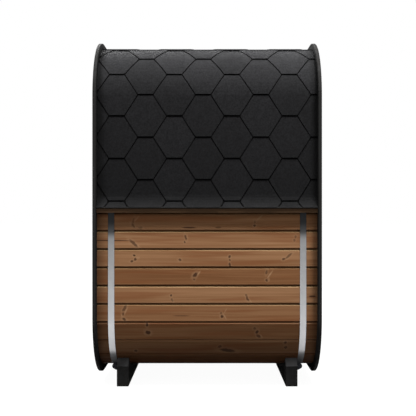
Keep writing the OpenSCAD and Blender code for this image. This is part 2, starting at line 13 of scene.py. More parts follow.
import bmesh
import bpy
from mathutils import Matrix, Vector

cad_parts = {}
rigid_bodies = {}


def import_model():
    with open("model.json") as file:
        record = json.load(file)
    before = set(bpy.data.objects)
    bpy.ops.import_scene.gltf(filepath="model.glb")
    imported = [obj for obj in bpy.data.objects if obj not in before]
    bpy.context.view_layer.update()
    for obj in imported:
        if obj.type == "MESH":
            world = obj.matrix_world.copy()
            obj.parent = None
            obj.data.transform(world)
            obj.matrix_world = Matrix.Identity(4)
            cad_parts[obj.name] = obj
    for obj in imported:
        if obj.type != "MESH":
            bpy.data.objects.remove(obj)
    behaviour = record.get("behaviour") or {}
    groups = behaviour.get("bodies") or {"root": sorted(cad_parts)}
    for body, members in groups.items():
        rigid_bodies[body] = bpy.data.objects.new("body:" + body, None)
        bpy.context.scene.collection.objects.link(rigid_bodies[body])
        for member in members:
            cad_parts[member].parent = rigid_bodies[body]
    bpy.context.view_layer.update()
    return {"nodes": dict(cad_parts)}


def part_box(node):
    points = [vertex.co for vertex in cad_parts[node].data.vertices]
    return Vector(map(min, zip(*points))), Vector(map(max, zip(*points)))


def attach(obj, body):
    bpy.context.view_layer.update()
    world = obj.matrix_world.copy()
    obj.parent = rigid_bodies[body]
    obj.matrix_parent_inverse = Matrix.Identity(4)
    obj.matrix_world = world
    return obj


for leftover in list(bpy.data.objects):
    bpy.data.objects.remove(leftover, do_unlink=True)
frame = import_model()
scene = bpy.context.scene

# %% [markdown]
# ## The studio
# The setting is a plain product shot: a level camera in front of the long side, a white
# surround, and two broad lamps high on the right and left, equally steep, so that the eave
# leaves one soft shadow on the wall and each rim a narrow one beside it.
# A long lens from far off keeps the sides nearly parallel, so the rims show only as edges.
# The camera stands at mid-height, where a level view needs no shift.

# %% Camera
view_along = 0.005
view_distance = 5.64
view_height = 1.0786
lens_length = 67.95

camera = bpy.data.objects.new("camera", bpy.data.cameras.new("camera"))
scene.collection.objects.link(camera)
camera.location = (view_along, -view_distance, view_height)
camera.rotation_euler = (math.radians(90), 0, 0)
camera.data.lens = lens_length
camera.data.sensor_width = 36
camera.data.clip_end = 200
scene.camera = camera
scene.view_settings.view_transform = "Standard"
print("camera at", tuple(camera.location))

# %% [markdown]
# ## Colours and nodes
# Colour pickers show values from 0 to 255 with a display curve in them, and shaders work
# on linear values, so one small function converts. A few more helpers keep node trees
# short to write: each adds one node, links or sets its inputs, and gives back its output.

# %% Colours and single nodes
def colour(red, green, blue):
    """A linear RGBA colour from the 0-255 values of a colour picker."""
    def linear(value):
        value /= 255
        return value / 12.92 if value <= 0.04045 else ((value + 0.055) / 1.055) ** 2.4
    return (linear(red), linear(green), linear(blue), 1)


def add(tree, kind, inputs=None, **settings):
    """Adds a node. An input's value is a plain value, or an output socket to link."""
    made = tree.nodes.new("ShaderNode" + kind)
    for name, value in settings.items():
        setattr(made, name, value)
    for name, value in (inputs or {}).items():
        if isinstance(value, bpy.types.NodeSocket):
            tree.links.new(value, made.inputs[name])
        else:
            made.inputs[name].default_value = value
    return made


def calc(tree, operation, *values):
    return add(tree, "Math", dict(enumerate(values)), operation=operation).outputs[0]


def ramp(tree, value, low, high, start=0.0, end=1.0):
    """A soft step: start below low, end above high."""
    inputs = {"Value": value, "From Min": low, "From Max": high, "To Min": start, "To Max": end}
    return add(tree, "MapRange", inputs, interpolation_type="SMOOTHSTEP").outputs[0]


def mixed(tree, factor, first, second, blend="MIX"):
    inputs = {0: factor, 6: first, 7: second}
    return add(tree, "Mix", inputs, data_type="RGBA", blend_type=blend).outputs[2]


def combined(tree, x, y, z):
    return add(tree, "CombineXYZ", {0: x, 1: y, 2: z}).outputs[0]


def scaled(tree, vector, x, y, z):
    return add(tree, "VectorMath", {0: vector, 1: (x, y, z)}, operation="MULTIPLY").outputs[0]


def shifted(tree, vector, offset):
    return add(tree, "VectorMath", {0: vector, 1: offset}, operation="ADD").outputs[0]


def noise(tree, vector, scale=1.0, detail=2.0, roughness=0.5):
    inputs = {"Vector": vector, "Scale": scale, "Detail": detail, "Roughness": roughness}
    return add(tree, "TexNoise", inputs).outputs["Fac"]


print("colour(128, 128, 128) in linear values:", round(colour(128, 128, 128)[0], 3))

# %% [markdown]
# Some steps come back in nearly every finish: a weighted sum, a tint, a value that swings
# about zero, and the place of a point on the object. Object coordinates serve well for
# that, because every solid shares one origin, so a figure runs on from solid to solid.

# %% Steps that come back
def weighted(tree, first, share, second, other_share):
    first_part = calc(tree, "MULTIPLY", first, share)
    return calc(tree, "ADD", first_part, calc(tree, "MULTIPLY", second, other_share))


def tinted(tree, look, red, green, blue):
    return mixed(tree, 1.0, look, (red, green, blue, 1), "MULTIPLY")


def shaded(tree, look, value):
    return mixed(tree, 1.0, look, combined(tree, value, value, value), "MULTIPLY")


def swing(tree, value, width):
    """Turns a value between 0 and 1 into one that swings about zero."""
    return calc(tree, "MULTIPLY", calc(tree, "SUBTRACT", value, 0.5), width)


def place(tree):
    """Where a point lies on the object, in metres: its X, Y and Z, and all three together."""
    vector = add(tree, "TexCoord").outputs["Object"]
    parts = add(tree, "SeparateXYZ", {0: vector}).outputs
    return parts[0], parts[1], parts[2], vector


def upward(tree, which):
    """How far a surface faces up, from its smooth Normal or its True Normal."""
    return add(tree, "SeparateXYZ", {0: add(tree, "NewGeometry").outputs[which]}).outputs["Z"]


print("shared steps ready")

# %% [markdown]
# An effect that several finishes share is a node group, built once and placed in each with
# its own values. The shader itself stays in the material, and what doesn't vary over the
# surface is typed straight into the shader's sockets.

# %% Groups and materials
def named(label):
    return label.replace("_", " ")


def plug(tree, sockets, **outputs):
    """Links outputs to the sockets of these names."""
    for label, output in outputs.items():
        tree.links.new(output, sockets[named(label)])


def new_group(name, inputs, outputs):
    """A shader node group. Returns the group, its inside inputs and its inside outputs."""
    kinds = {float: "NodeSocketFloat", tuple: "NodeSocketColor", Vector: "NodeSocketVector"}
    group = bpy.data.node_groups.new(name, "ShaderNodeTree")
    for label, value in inputs.items():
        socket = group.interface.new_socket(label, in_out="INPUT", socket_type=kinds[type(value)])
        socket.default_value = value
    for label, kind in outputs.items():
        group.interface.new_socket(label, in_out="OUTPUT", socket_type=kinds[kind])
    given = group.nodes.new("NodeGroupInput").outputs
    return group, given, group.nodes.new("NodeGroupOutput").inputs


def use(tree, group, **inputs):
    """Places a node group in a material, and gives back its outputs."""
    made = tree.nodes.new("ShaderNodeGroup")
    made.node_tree = group
    for label, value in inputs.items():
        socket = made.inputs[named(label)]
        if isinstance(value, bpy.types.NodeSocket):
            tree.links.new(value, socket)
        else:
            socket.default_value = value
    return made.outputs


def new_material(name, **plain):
    """A material with a Principled shader, whose uniform values are set on its sockets."""
    material = bpy.data.materials.new(name)
    material.use_nodes = True
    shader = material.node_tree.nodes["Principled BSDF"]
    for label, value in plain.items():
        shader.inputs[named(label)].default_value = value
    return material, material.node_tree, shader


def bump(tree, shader, height, distance, strength, **inputs):
    inputs.update(Height=height, Distance=distance, Strength=strength)
    plug(tree, shader.inputs, Normal=add(tree, "Bump", inputs).outputs[0])


print("group and material helpers ready")

# %% [markdown]
# ## Surround and lamps
# White paper behind a dark object should look white without lighting the object up.
# The world is therefore white only to rays that show it: camera rays, and the glossy and
# transmitted rays that carry its image in metal and glass. Other rays see a grey dome,
# brighter overhead than at the horizon, which gives the fill light.

# %% World
horizon_strength = 0.36
overhead_strength = 0.84


def seen_directly(tree):
    """1 on rays that show a surround to the viewer, straight, mirrored or through glass."""
    path = add(tree, "LightPath").outputs
    mirrored = calc(tree, "MAXIMUM", path["Is Glossy Ray"], path["Is Transmission Ray"])
    return calc(tree, "MAXIMUM", path["Is Camera Ray"], mirrored)


world = bpy.data.worlds.new("studio")
scene.world = world
world.use_nodes = True
tree = world.node_tree
background = tree.nodes["Background"]
height = add(tree, "SeparateXYZ", {0: add(tree, "TexCoord").outputs["Generated"]}).outputs[2]
brightness = ramp(tree, height, 0.0, 0.8, horizon_strength, overhead_strength)
dome = combined(tree, brightness, brightness, brightness)
plug(tree, background.inputs, Color=mixed(tree, seen_directly(tree), dome, (1, 1, 1, 1)))
print("dome from", horizon_strength, "to", overhead_strength)

# %% [markdown]
# The floor is white paper to the camera and keeps a share of real shading there, so the
# object's shadow stays on it. In metal and glass it shows with its full shadow, and it
# throws little light back up, as a dark underside needs.

# %% Floor
floor_size = 90
floor_shade = 0.035    # how much darker than white the camera sees the paper in full shadow
camera_paper, mirrored_paper, spilling_paper = 0.09, 0.45, 0.05

floor_mesh = bpy.data.meshes.new("floor")
signs = ((-1, -1), (1, -1), (1, 1), (-1, 1))
corners = [(x * floor_size / 2, y * floor_size / 2, 0) for x, y in signs]
floor_mesh.from_pydata(corners, [], [(0, 1, 2, 3)])
floor = bpy.data.objects.new("floor", floor_mesh)
scene.collection.objects.link(floor)

paper = bpy.data.materials.new("studio_paper")
paper.use_nodes = True
tree = paper.node_tree
tree.nodes.clear()


def diffuse(shade):
    return add(tree, "BsdfDiffuse", {"Color": (shade, shade, shade, 1)}).outputs[0]


glow = add(tree, "Emission", {"Color": (1, 1, 1, 1), "Strength": 1.0 - floor_shade}).outputs[0]
to_camera = add(tree, "AddShader", {0: glow, 1: diffuse(camera_paper)}).outputs[0]
shown = {0: seen_directly(tree), 1: diffuse(spilling_paper), 2: diffuse(mirrored_paper)}
others = add(tree, "MixShader", shown).outputs[0]
is_camera = add(tree, "LightPath").outputs["Is Camera Ray"]
surface = add(tree, "MixShader", {0: is_camera, 1: others, 2: to_camera}).outputs[0]
plug(tree, add(tree, "OutputMaterial").inputs, Surface=surface)
floor_mesh.materials.append(paper)
print("floor", floor_size, "m wide")

# %% [markdown]
# Each lamp is a square soft box that faces its target, so its place can be given as a
# direction and a distance. The right one is the strongest, the left one fills from the
# other side, and the one behind lights the rear for anyone who walks round the sauna.

# %% Lamps
def soft_box(name, direction, distance, target, width, power):
    """A square lamp that stands in a direction from its target and faces it."""
    lamp = bpy.data.objects.new(name, bpy.data.lights.new(name, "AREA"))
    scene.collection.objects.link(lamp)
    outward = Vector(direction).normalized()
    lamp.location = Vector(target) + outward * distance
    lamp.rotation_euler = outward.to_track_quat("Z", "Y").to_euler()
    lamp.data.shape = "RECTANGLE"
    lamp.data.size = lamp.data.size_y = width
    lamp.data.energy = power
    return lamp


wall_point = (0, -0.98, 0.75)
front_distance = 5.5
right = soft_box("right_lamp", (1.2, -1.0, 3.45), front_distance, wall_point, width=1.0, power=545)
left = soft_box("left_lamp", (-1.9, -1.0, 3.45), front_distance, wall_point, width=1.2, power=250)
back = soft_box("back_lamp", (-0.6, 1.0, 1.3), 6.0, (0, 0, 1.5), width=3.0, power=420)
print("lamps:", right.name, left.name, back.name)

# %% [markdown]
# ## Timber
# Heat-treated pine is a warm brown all through, with soft growth lines along the board,
# a few redder streaks, and small dark knots. One node group draws the figure of a board
# from a position whose X runs along the grain, and a board number that gives each board
# its own piece of tree. An image of wood would repeat and need unwrapping, and the group
# needs neither.

# %% Timber node group
timber, given, result = new_group(
    "timber",
    {"Vector": Vector((0, 0, 0)), "Board": 0.0, "Tone": 0.5, "Contrast": 1.0,
     "Pale": (1, 1, 1, 1), "Dark": (0, 0, 0, 1), "Red": (1, 0, 0, 1)},
    {"Color": tuple, "Height": float, "Figure": float},
)
seed = add(timber, "TexWhiteNoise", {"W": given["Board"]}, noise_dimensions="1D").outputs["Color"]
own = shifted(timber, given["Vector"], scaled(timber, seed, 31, 17, 23))
wander = swing(timber, noise(timber, scaled(timber, own, 1.1, 5, 5), detail=1.5), 0.03)
own = shifted(timber, own, combined(timber, 0.0, wander, wander))
wide_streak = noise(timber, scaled(timber, own, 0.9, 46, 46), detail=2.5)
growth_line = noise(timber, scaled(timber, own, 1.6, 120, 120), detail=3, roughness=0.65)
pore = noise(timber, scaled(timber, own, 26, 1500, 1500), detail=1)
figure = ramp(timber, weighted(timber, wide_streak, 0.5, growth_line, 0.5), 0.36, 0.64)

body = mixed(timber, given["Tone"], given["Dark"], given["Pale"])
streak = calc(timber, "MULTIPLY", calc(timber, "MULTIPLY", figure, 0.62), given["Contrast"])
body = mixed(timber, streak, body, tinted(timber, body, 0.62, 0.52, 0.42))
red_patch = noise(timber, scaled(timber, own, 1.6, 30, 30), detail=1)
red_patch = ramp(timber, red_patch, 0.5, 0.7, 0.0, 0.55)
body = mixed(timber, calc(timber, "MULTIPLY", red_patch, given["Contrast"]), body, given["Red"])
height = weighted(timber, growth_line, 0.7, pore, 0.3)
plug(timber, result, Color=body, Height=height, Figure=figure)
print("timber group:", len(timber.nodes), "nodes")

# %% [markdown]
# Knots are where a branch grew. On a board they show as dark ovals, a few of them drawn
# out as slanting spikes. A Voronoi texture scatters one point in each stretch of board;
# the distance to it, squeezed along one axis, gives the oval, and each cell's random
# colour says how big the knot is, or that there is none.

# %% Knot node group
knots, given, result = new_group(
    "knots",
    {"Vector": Vector((0, 0, 0)), "Board": 0.0, "Share": 0.5},
    {"Core": float, "Halo": float},
)
parts = add(knots, "SeparateXYZ", {0: given["Vector"]}).outputs
along = weighted(knots, parts[0], 3.1, given["Board"], 7.37)
wobble = swing(knots, noise(knots, given["Vector"], scale=55.0), 0.12)
across = calc(knots, "ADD", calc(knots, "MULTIPLY", parts[1], 12.0), wobble)
cells = add(
    knots, "TexVoronoi",
    {"Vector": combined(knots, along, across, 0.0), "Scale": 1.0, "Randomness": 0.85},
    voronoi_dimensions="2D",
).outputs
cell = add(knots, "SeparateColor", {0: cells["Color"]}).outputs
size = calc(knots, "ADD", calc(knots, "MULTIPLY", cell[0], 0.07), 0.03)
present = calc(knots, "LESS_THAN", cell[1], given["Share"])
for label, reach in (("Core", 1.0), ("Halo", 2.6)):
    edge = calc(knots, "MULTIPLY", size, reach)
    inside = ramp(knots, cells["Distance"], edge, calc(knots, "MULTIPLY", edge, 0.55))
    plug(knots, result, **{label: calc(knots, "MULTIPLY", inside, present)})
print("knot group:", len(knots.nodes), "nodes")

# %% [markdown]
# Handling and weather wear the sharp edges first. The Bevel node gives the normal that a
# rounded edge would have; where it turns away from the flat face's own normal, there is an
# edge. Noise breaks the band up, so that it doesn't look like a drawn line.

# %% Edge wear node group
edge_wear, given, result = new_group(
    "edge_wear",
    {"Radius": 0.003, "Scale": 40.0, "Amount": 0.5},
    {"Mask": float, "Normal": Vector},
)
rounded = add(edge_wear, "Bevel", {"Radius": given["Radius"]}, samples=4).outputs[0]
flat = add(edge_wear, "NewGeometry").outputs["True Normal"]
facing = add(edge_wear, "VectorMath", {0: rounded, 1: flat}, operation="DOT_PRODUCT")
near_edge = ramp(edge_wear, facing.outputs["Value"], 0.995, 0.86)
patchy = noise(edge_wear, place(edge_wear)[3], scale=given["Scale"], detail=3)
patchy = ramp(edge_wear, patchy, 0.3, 0.7, 0.7, 1.0)
near_edge = calc(edge_wear, "MULTIPLY", near_edge, patchy)
mask = calc(edge_wear, "MULTIPLY", near_edge, given["Amount"])
plug(edge_wear, result, Mask=mask, Normal=rounded)
print("edge wear group:", len(edge_wear.nodes), "nodes")

# %% [markdown]
# Dust lies on what faces up. Painted shade darkens corners and the ground under edges, and
# the Ambient Occlusion node finds those places.

# %% Dust and painted shade node groups
dust, given, result = new_group("dust", {"Scale": 9.0, "Amount": 0.3}, {"Mask": float})
settled = ramp(dust, upward(dust, "Normal"), 0.3, 0.95)
cloudy = noise(dust, place(dust)[3], scale=given["Scale"], detail=4)
cloudy = ramp(dust, cloudy, 0.35, 0.7, 0.3, 1.0)
settled = calc(dust, "MULTIPLY", settled, cloudy)
plug(dust, result, Mask=calc(dust, "MULTIPLY", settled, given["Amount"]))

# painted shade: darker where the Ambient Occlusion node finds corners and undersides
occlusion_shade, given, result = new_group("occlusion_shade", {"Distance": 0.1, "Amount": 0.5}, {"Mask": float})
openness = add(occlusion_shade, "AmbientOcclusion", {"Distance": given["Distance"]}, samples=6).outputs["AO"]
in_shade = ramp(occlusion_shade, openness, 0.95, 0.35)
plug(occlusion_shade, result, Mask=calc(occlusion_shade, "MULTIPLY", in_shade, given["Amount"]))
print("dust and grime groups ready")

# %% [markdown]
# ### Where the boards lie
# The staves of a flat side are 108.3 mm wide, and two narrower ones close each side. From
# that the material can tell which stave a point is on, and the timber group then gives
# each its own figure. Each kind of board counts from a number of its own, such as 200 for
# the corners, so that no kind repeats the figures of another.

# %% Staves of the flat sides
stave_width = 0.1083
full_staves = 11
corner_lead = 0.0306        # from where a corner starts to the first stave's joint
shell_radius = 0.3323
shell_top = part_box("staves_roof")[1].z
shell_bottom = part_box("staves_floor")[0].z
shell_middle = (shell_top + shell_bottom) / 2
shell_half = (shell_top - shell_bottom) / 2
corner_middle = shell_half - shell_radius
first_joint = -(corner_middle + corner_lead)
closing_joint = first_joint + full_staves * stave_width
closing_width = -first_joint - full_staves * stave_width / 2
print("shell half height", round(shell_half, 4), "corner centre", round(corner_middle, 4))


def flat_board(tree, across):
    """The number of the stave that lies at this distance across a flat side."""
    def passed(joint, width):
        beyond = calc(tree, "SUBTRACT", across, joint)
        return calc(tree, "FLOOR", calc(tree, "DIVIDE", beyond, width))

    full = calc(tree, "MINIMUM", passed(first_joint, stave_width), float(full_staves))
    closing = calc(tree, "MAXIMUM", passed(closing_joint, closing_width), 0.0)
    return calc(tree, "ADD", full, calc(tree, "MINIMUM", closing, 1.0))


def side_of(tree, value, step=1.0):
    """0 on the negative side, and a step up on the positive side."""
    return calc(tree, "MULTIPLY", calc(tree, "GREATER_THAN", value, 0.0), step)


def wall_staves(tree):
    x, y, z, _ = place(tree)
    across = calc(tree, "SUBTRACT", z, shell_middle)
    return x, across, y, calc(tree, "ADD", flat_board(tree, across), side_of(tree, y, 40.0))


def level_staves(tree):
    x, y, z, _ = place(tree)
    roof = side_of(tree, calc(tree, "SUBTRACT", z, shell_middle), 40.0)
    return x, y, z, calc(tree, "ADD", flat_board(tree, y), calc(tree, "ADD", roof, 80.0))


# %% [markdown]
# Round a corner, the distance across the boards is measured as an angle times the corner's
# radius. Elsewhere a board's grain follows one axis, and in a mitred frame one of two.

# %% Staves of the corners, and other boards
corner_staves = 4


def staves_of_a_corner(tree):
    x, y, z, _ = place(tree)
    height = calc(tree, "SUBTRACT", z, shell_middle)
    out = calc(tree, "SUBTRACT", calc(tree, "ABSOLUTE", y), corner_middle)
    over = calc(tree, "SUBTRACT", calc(tree, "ABSOLUTE", height), corner_middle)
    angle = calc(tree, "ARCTAN2", over, out)
    lead = math.atan(corner_lead / shell_radius)
    step = (math.pi / 2 - 2 * lead) / corner_staves
    number = calc(tree, "DIVIDE", calc(tree, "SUBTRACT", angle, lead), step)
    corner = calc(tree, "ADD", side_of(tree, y, 10.0), side_of(tree, height, 20.0))
    board = calc(tree, "ADD", calc(tree, "FLOOR", number), corner)
    across = calc(tree, "MULTIPLY", angle, shell_radius)
    return x, across, out, calc(tree, "ADD", board, 200.0)


def sawn_along(grain, across, into, first_board, middle=0.0):
    """Coordinates of two boards whose grain follows an axis, on the two sides of a middle."""
    def where(tree):
        at = dict(zip("xyz", place(tree)))
        board = side_of(tree, calc(tree, "SUBTRACT", at[into], middle))
        return at[grain], at[across], at[into], calc(tree, "ADD", board, first_board)

    return where


def either_way(tree, level, upright, y, z):
    """Along and across a member: along Y where it lies level, along Z where it stands."""
    return weighted(tree, y, level, z, upright), weighted(tree, z, level, y, upright)


print("corner staves:", corner_staves)

# %% [markdown]
# ### Knots listed one by one
# The front wall has knots that anyone would remember the sauna by, so those are listed one
# by one: each is an oval with a place, a size and a slant. The Mapping node moves and turns
# the surface so that the oval becomes a unit circle, whose distance is easy.

# %% Marks on the front staves
# along, height above the ground, half length, half width (mm), turn (degrees), strength
front_marks = [
    (-440, 996, 24, 5, 75, 0.4), (-438, 974, 16, 5, -55, 0.6), (-395, 961, 12, 4, 0, 0.45),
    (-107, 962, 38, 3, 0, 0.8), (66, 963, 18, 3, 0, 0.6), (281, 974, 7, 6, 90, 0.8),
    (283, 995, 9, 4, 80, 0.45),
    (-436, 869, 30, 7, -42, 0.7), (-455, 885, 8, 5, -60, 0.5), (-585, 886, 128, 1.2, 0, 0.85),
    (-128, 904, 15, 5, 105, 0.7), (-133, 876, 6, 4, 60, 0.7), (524, 908, 8, 5, 60, 0.5),
    (518, 888, 9, 5, 110, 0.5),
    (-433, 797, 6, 6, 50, 0.9), (-446, 763, 9, 5, 20, 0.8), (-427, 775, 9, 5, 55, 0.8),
    (-161, 771, 9, 5, 0, 0.7), (133, 790, 9, 5, 70, 0.8), (134, 741, 13, 5, 100, 0.8),
    (133, 770, 5, 4, 0, 0.7), (484, 795, 24, 5, 40, 0.6), (454, 775, 10, 6, 15, 0.75),
    (-71, 682, 16, 9, 45, 0.85), (-78, 655, 7, 5, 60, 0.6), (352, 697, 13, 5, 75, 0.6),
    (353, 650, 8, 5, -40, 0.75),
    (-214, 560, 6, 5, 0, 0.8), (-208, 533, 12, 4, -60, 0.55), (239, 541, 15, 5, -60, 0.75),
    (232, 560, 9, 4, 95, 0.55), (624, 555, 20, 3.5, 0, 0.85),
    (-490, 484, 20, 7, 60, 0.65), (-498, 450, 9, 5, 100, 0.6), (-492, 419, 12, 7, 150, 0.8),
    (-152, 440, 46, 2.5, 0, 0.45), (88, 436, 8, 7, 80, 0.85), (82, 455, 8, 5, 90, 0.5),
    (-357, 387, 7, 12, 0, 0.9), (-352, 338, 15, 10, -10, 0.9), (297, 342, 12, 7, 65, 0.9),
    (282, 364, 8, 6, 30, 0.6), (306, 315, 14, 7, -35, 0.7),
    (468, 274, 9, 8, 80, 0.75), (472, 242, 10, 7, 90, 0.75), (76, 247, 12, 7, 30, 0.65),
    (124, 221, 44, 10, -8, 0.85), (-430, 218, 9, 7, 0, 0.8),
]
# the grain that swerves round a knot shows as a pale flare beside it, in the same six numbers
front_flares = [
    (-418, 1015, 28, 5, 50, 0.4), (-398, 957, 10, 3, 0, 0.4), (312, 1022, 30, 6, 42, 0.45),
    (-413, 858, 18, 4, -42, 0.75), (-116, 908, 16, 4, 100, 0.5), (-410, 783, 12, 9, 0, 0.45),
    (476, 776, 12, 4, 40, 0.4), (-50, 692, 20, 5, 55, 0.8), (372, 684, 34, 5, 54, 0.75),
    (366, 655, 16, 5, 95, 0.5), (-202, 527, 16, 4, -60, 0.75), (257, 527, 16, 4, -55, 0.75),
    (-482, 468, 30, 5, 66, 0.7), (-506, 440, 14, 4, 110, 0.6), (104, 436, 24, 5, -60, 0.65),
    (108, 468, 22, 4, 60, 0.4), (322, 316, 16, 5, -50, 0.65), (-336, 324, 6, 9, 0, 0.5),
]
print(len(front_marks), "marks and", len(front_flares), "flares set by hand")

# %% [markdown]
# A knot's rim is torn, so noise shifts the surface a few millimetres before the distance is
# taken. A crack is thinner than that shift, and noise would break it into a zigzag, so
# narrow marks are drawn on the plain surface. The grain swerves round a knot and catches
# the light beside it, which is why many marks have a pale flare next to them.

# %% Front marks node group
narrowest_torn = 4          # half the width, in millimetres, from which a mark's rim is torn
torn_by = 0.013             # how wide the noise can swing the surface, in metres
soft_length, soft_width = 1.15, 2.5     # what a soft rim adds: a share, and millimetres

marks, given, result = new_group("front_marks", {}, {"Core": float, "Halo": float})
x, y, z, _ = place(marks)
plain_point = combined(marks, x, z, 0.0)


def torn(value, shift):
    """A coordinate shifted by noise. The shift picks another stretch of the noise."""
    spot = combined(marks, calc(marks, "ADD", x, shift), z, 0.0)
    return calc(marks, "ADD", value, swing(marks, noise(marks, spot, scale=55.0), torn_by))


def oval(point, along, height, turn, half_length, half_width):
    """The distance from an oval's middle, which is 1 at its edge. Sizes are in millimetres."""
    inputs = {
        "Vector": point,
        "Location": (along / 1000, height / 1000, 0),
        "Rotation": (0, 0, math.radians(turn)),
        "Scale": (half_length / 1000, half_width / 1000, 1),
    }
    local = add(marks, "Mapping", inputs, vector_type="TEXTURE").outputs[0]
    return add(marks, "VectorMath", {0: local}, operation="LENGTH").outputs["Value"]


torn_point = combined(marks, torn(x, 0.0), torn(z, 7.3), 0.0)
core, halo = 0.0, 0.0
for along, height, long, wide, turn, strength in front_marks:
    is_torn = wide >= narrowest_torn
    point = torn_point if is_torn else plain_point
    distance = oval(point, along, height, turn, long * soft_length, wide + soft_width)
    core = calc(marks, "MAXIMUM", core, ramp(marks, distance, 1.2, 0.6, 0.0, strength))
    faint = ramp(marks, distance, 2.2, 1.0, 0.0, strength * 0.6 if is_torn else 0.0)
    halo = calc(marks, "MAXIMUM", halo, faint)
for along, height, long, wide, turn, strength in front_flares:
    distance = oval(plain_point, along, height, turn, long, wide)
    halo = calc(marks, "MAXIMUM", halo, ramp(marks, distance, 1.3, 0.4, 0.0, strength * 1.3))
on_front = calc(marks, "LESS_THAN", y, 0.0)
plug(marks, result, Core=calc(marks, "MULTIPLY", core, on_front),
     Halo=calc(marks, "MULTIPLY", halo, on_front))
print("front marks group:", len(marks.nodes), "nodes")

# %% [markdown]
# ### Painted light and shade on a board
# Light reaches one board unevenly, and some of that is painted into its colour. Each
# difference is a mask on the same wood:
# - painted light brightens the wood high under the eave.
# - the arris, a stave's chamfer, is painted by its slope: an upward one gets a yellowish
#   highlight tint, and a downward one painted shade.
# - painted shade darkens corners, and the last centimetres before a rim.
# - painted shade darkens a board toward its foot, and most of all the foot itself.

# %% Painted light and shade on timber
rim_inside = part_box("rim_right_front")[0].x
eave_light_heights = ((0.975, 1.035), (1.034, 1.044))    # gently at first, and then at once
foot_heights = (0.125, 0.105)           # the lowest centimetres of the barrel
arris_slope = 0.45          # how far a chamfer faces up or down
rim_shade_from, rim_shade_to = 0.075, 0.005         # distances before a rim over which its painted shade grows


# Painted light: the wood high under the eave is brightened to lift the shade there.
def painted_eave_light(tree, look, amount):
    z = place(tree)[2]
    gently, at_once = [ramp(tree, z, low, high, 0.0, amount) for low, high in eave_light_heights]
    eave_light = tinted(tree, look, 2.0, 1.95, 1.9)
    return mixed(tree, calc(tree, "ADD", gently, at_once), look, eave_light)


# An upward chamfer's highlight gets a painted tint, and a downward one painted shade.
def arris_light_and_shade(tree, look):
    slope = upward(tree, "True Normal")
    painted_light = tinted(tree, look, 0.84, 1.0, 0.97)
    painted_arris_shade = tinted(tree, look, 0.62, 0.6, 0.6)
    look = mixed(tree, calc(tree, "GREATER_THAN", slope, arris_slope), look, painted_light)
    return mixed(tree, calc(tree, "LESS_THAN", slope, -arris_slope), look, painted_arris_shade)


# Painted shade: darker in corners, over the last centimetres before a rim, and toward the foot.
def painted_shade_on_timber(tree, corner_shade, rim_shade, low_shade, low_shade_heights):
    painted_shade = use(tree, occlusion_shade, Distance=0.12, Amount=corner_shade)["Mask"]
    if rim_shade:
        from_middle = calc(tree, "ABSOLUTE", place(tree)[0])
        rim_shade_strip = ramp(tree, from_middle, rim_inside - rim_shade_from, rim_inside - rim_shade_to, 0.0, rim_shade)
        painted_shade = calc(tree, "ADD", painted_shade, rim_shade_strip)
    if low_shade:
        z = place(tree)[2]
        low = ramp(tree, z, *low_shade_heights, 0.0, low_shade)
        low = calc(tree, "ADD", low, ramp(tree, z, *foot_heights, 0.0, 0.25))
        painted_shade = calc(tree, "MAXIMUM", painted_shade, low)
    return painted_shade


print("weather ready")

# %% [markdown]
# ### One recipe for all timber
# The recipe takes a board's coordinates, its shades of brown and the painted light and
# shade it gets. Knots go on the clean wood, painted light over them, and wear last but for
# the painted shade. The dark growth lines shine a little less than the wood between them,
# so the figure also makes the roughness.

# %% Timber recipe
knot_brown = colour(46, 25, 15)
halo_pale = colour(166, 132, 100)


def timber_material(name, where, pale, dark, red, tone=None, contrast=1.0, share=0.3,
                    marks_too=False, eave_light=0.0, arris=False, wear=0.1, corner_shade=0.35,
                    rim_shade=0.0, low_shade=0.0, low_shade_heights=(0.34, 0.13), rough=(0.5, 0.68)):
    """A timber finish. `where` gives the coordinates along, across and into the board, and
    its number, and `tone` can give each number a tone of its own."""
    material, tree, shader = new_material(name, Specular_IOR_Level=0.08)
    along, across, depth, board = where(tree)
    vector = combined(tree, along, across, depth)
    if tone:
        tone = tone(tree, board)
    else:
        chance = {"W": calc(tree, "ADD", board, 0.37)}
        tone = add(tree, "TexWhiteNoise", chance, noise_dimensions="1D").outputs["Value"]
    wood = use(tree, timber, Vector=vector, Board=board, Tone=tone, Contrast=contrast,
               Pale=pale, Dark=dark, Red=red)
    knot = use(tree, knots, Vector=vector, Board=board, Share=share)
    core, halo = knot["Core"], knot["Halo"]
    if marks_too:
        by_hand = use(tree, marks)
        elsewhere = calc(tree, "GREATER_THAN", place(tree)[1], 0.0)
        core = calc(tree, "MAXIMUM", calc(tree, "MULTIPLY", core, elsewhere), by_hand["Core"])
        halo = calc(tree, "MAXIMUM", calc(tree, "MULTIPLY", halo, elsewhere), by_hand["Halo"])
    look = mixed(tree, calc(tree, "MULTIPLY", halo, 0.5), wood["Color"], halo_pale)
    look = mixed(tree, core, look, knot_brown)
    if eave_light:
        look = painted_eave_light(tree, look, eave_light)
    if arris:
        look = arris_light_and_shade(tree, look)
    worn = use(tree, edge_wear, Radius=0.003, Scale=30.0, Amount=wear)["Mask"]
    look = mixed(tree, worn, look, mixed(tree, 0.35, pale, (0.8, 1, 0.9, 1)))
    # painted shade, mixed in as a darker copy of the wood
    painted_shade = painted_shade_on_timber(tree, corner_shade, rim_shade, low_shade, low_shade_heights)
    look = mixed(tree, painted_shade, look, tinted(tree, look, 0.3, 0.27, 0.25))
    gloss = ramp(tree, wood["Figure"], 0.0, 1.0, *rough)
    plug(tree, shader.inputs, Base_Color=look, Roughness=gloss)
    bump(tree, shader, wood["Height"], distance=0.0004, strength=0.6)
    return material


print("timber recipe ready")

# %% [markdown]
# The wall's staves were sawn from several trees, so their tone jumps from one to the next.
# A Color Ramp with constant steps holds the tones in order, one for each stave. The roof,
# the floor and the corners have too many staves to name, and draw theirs at random.

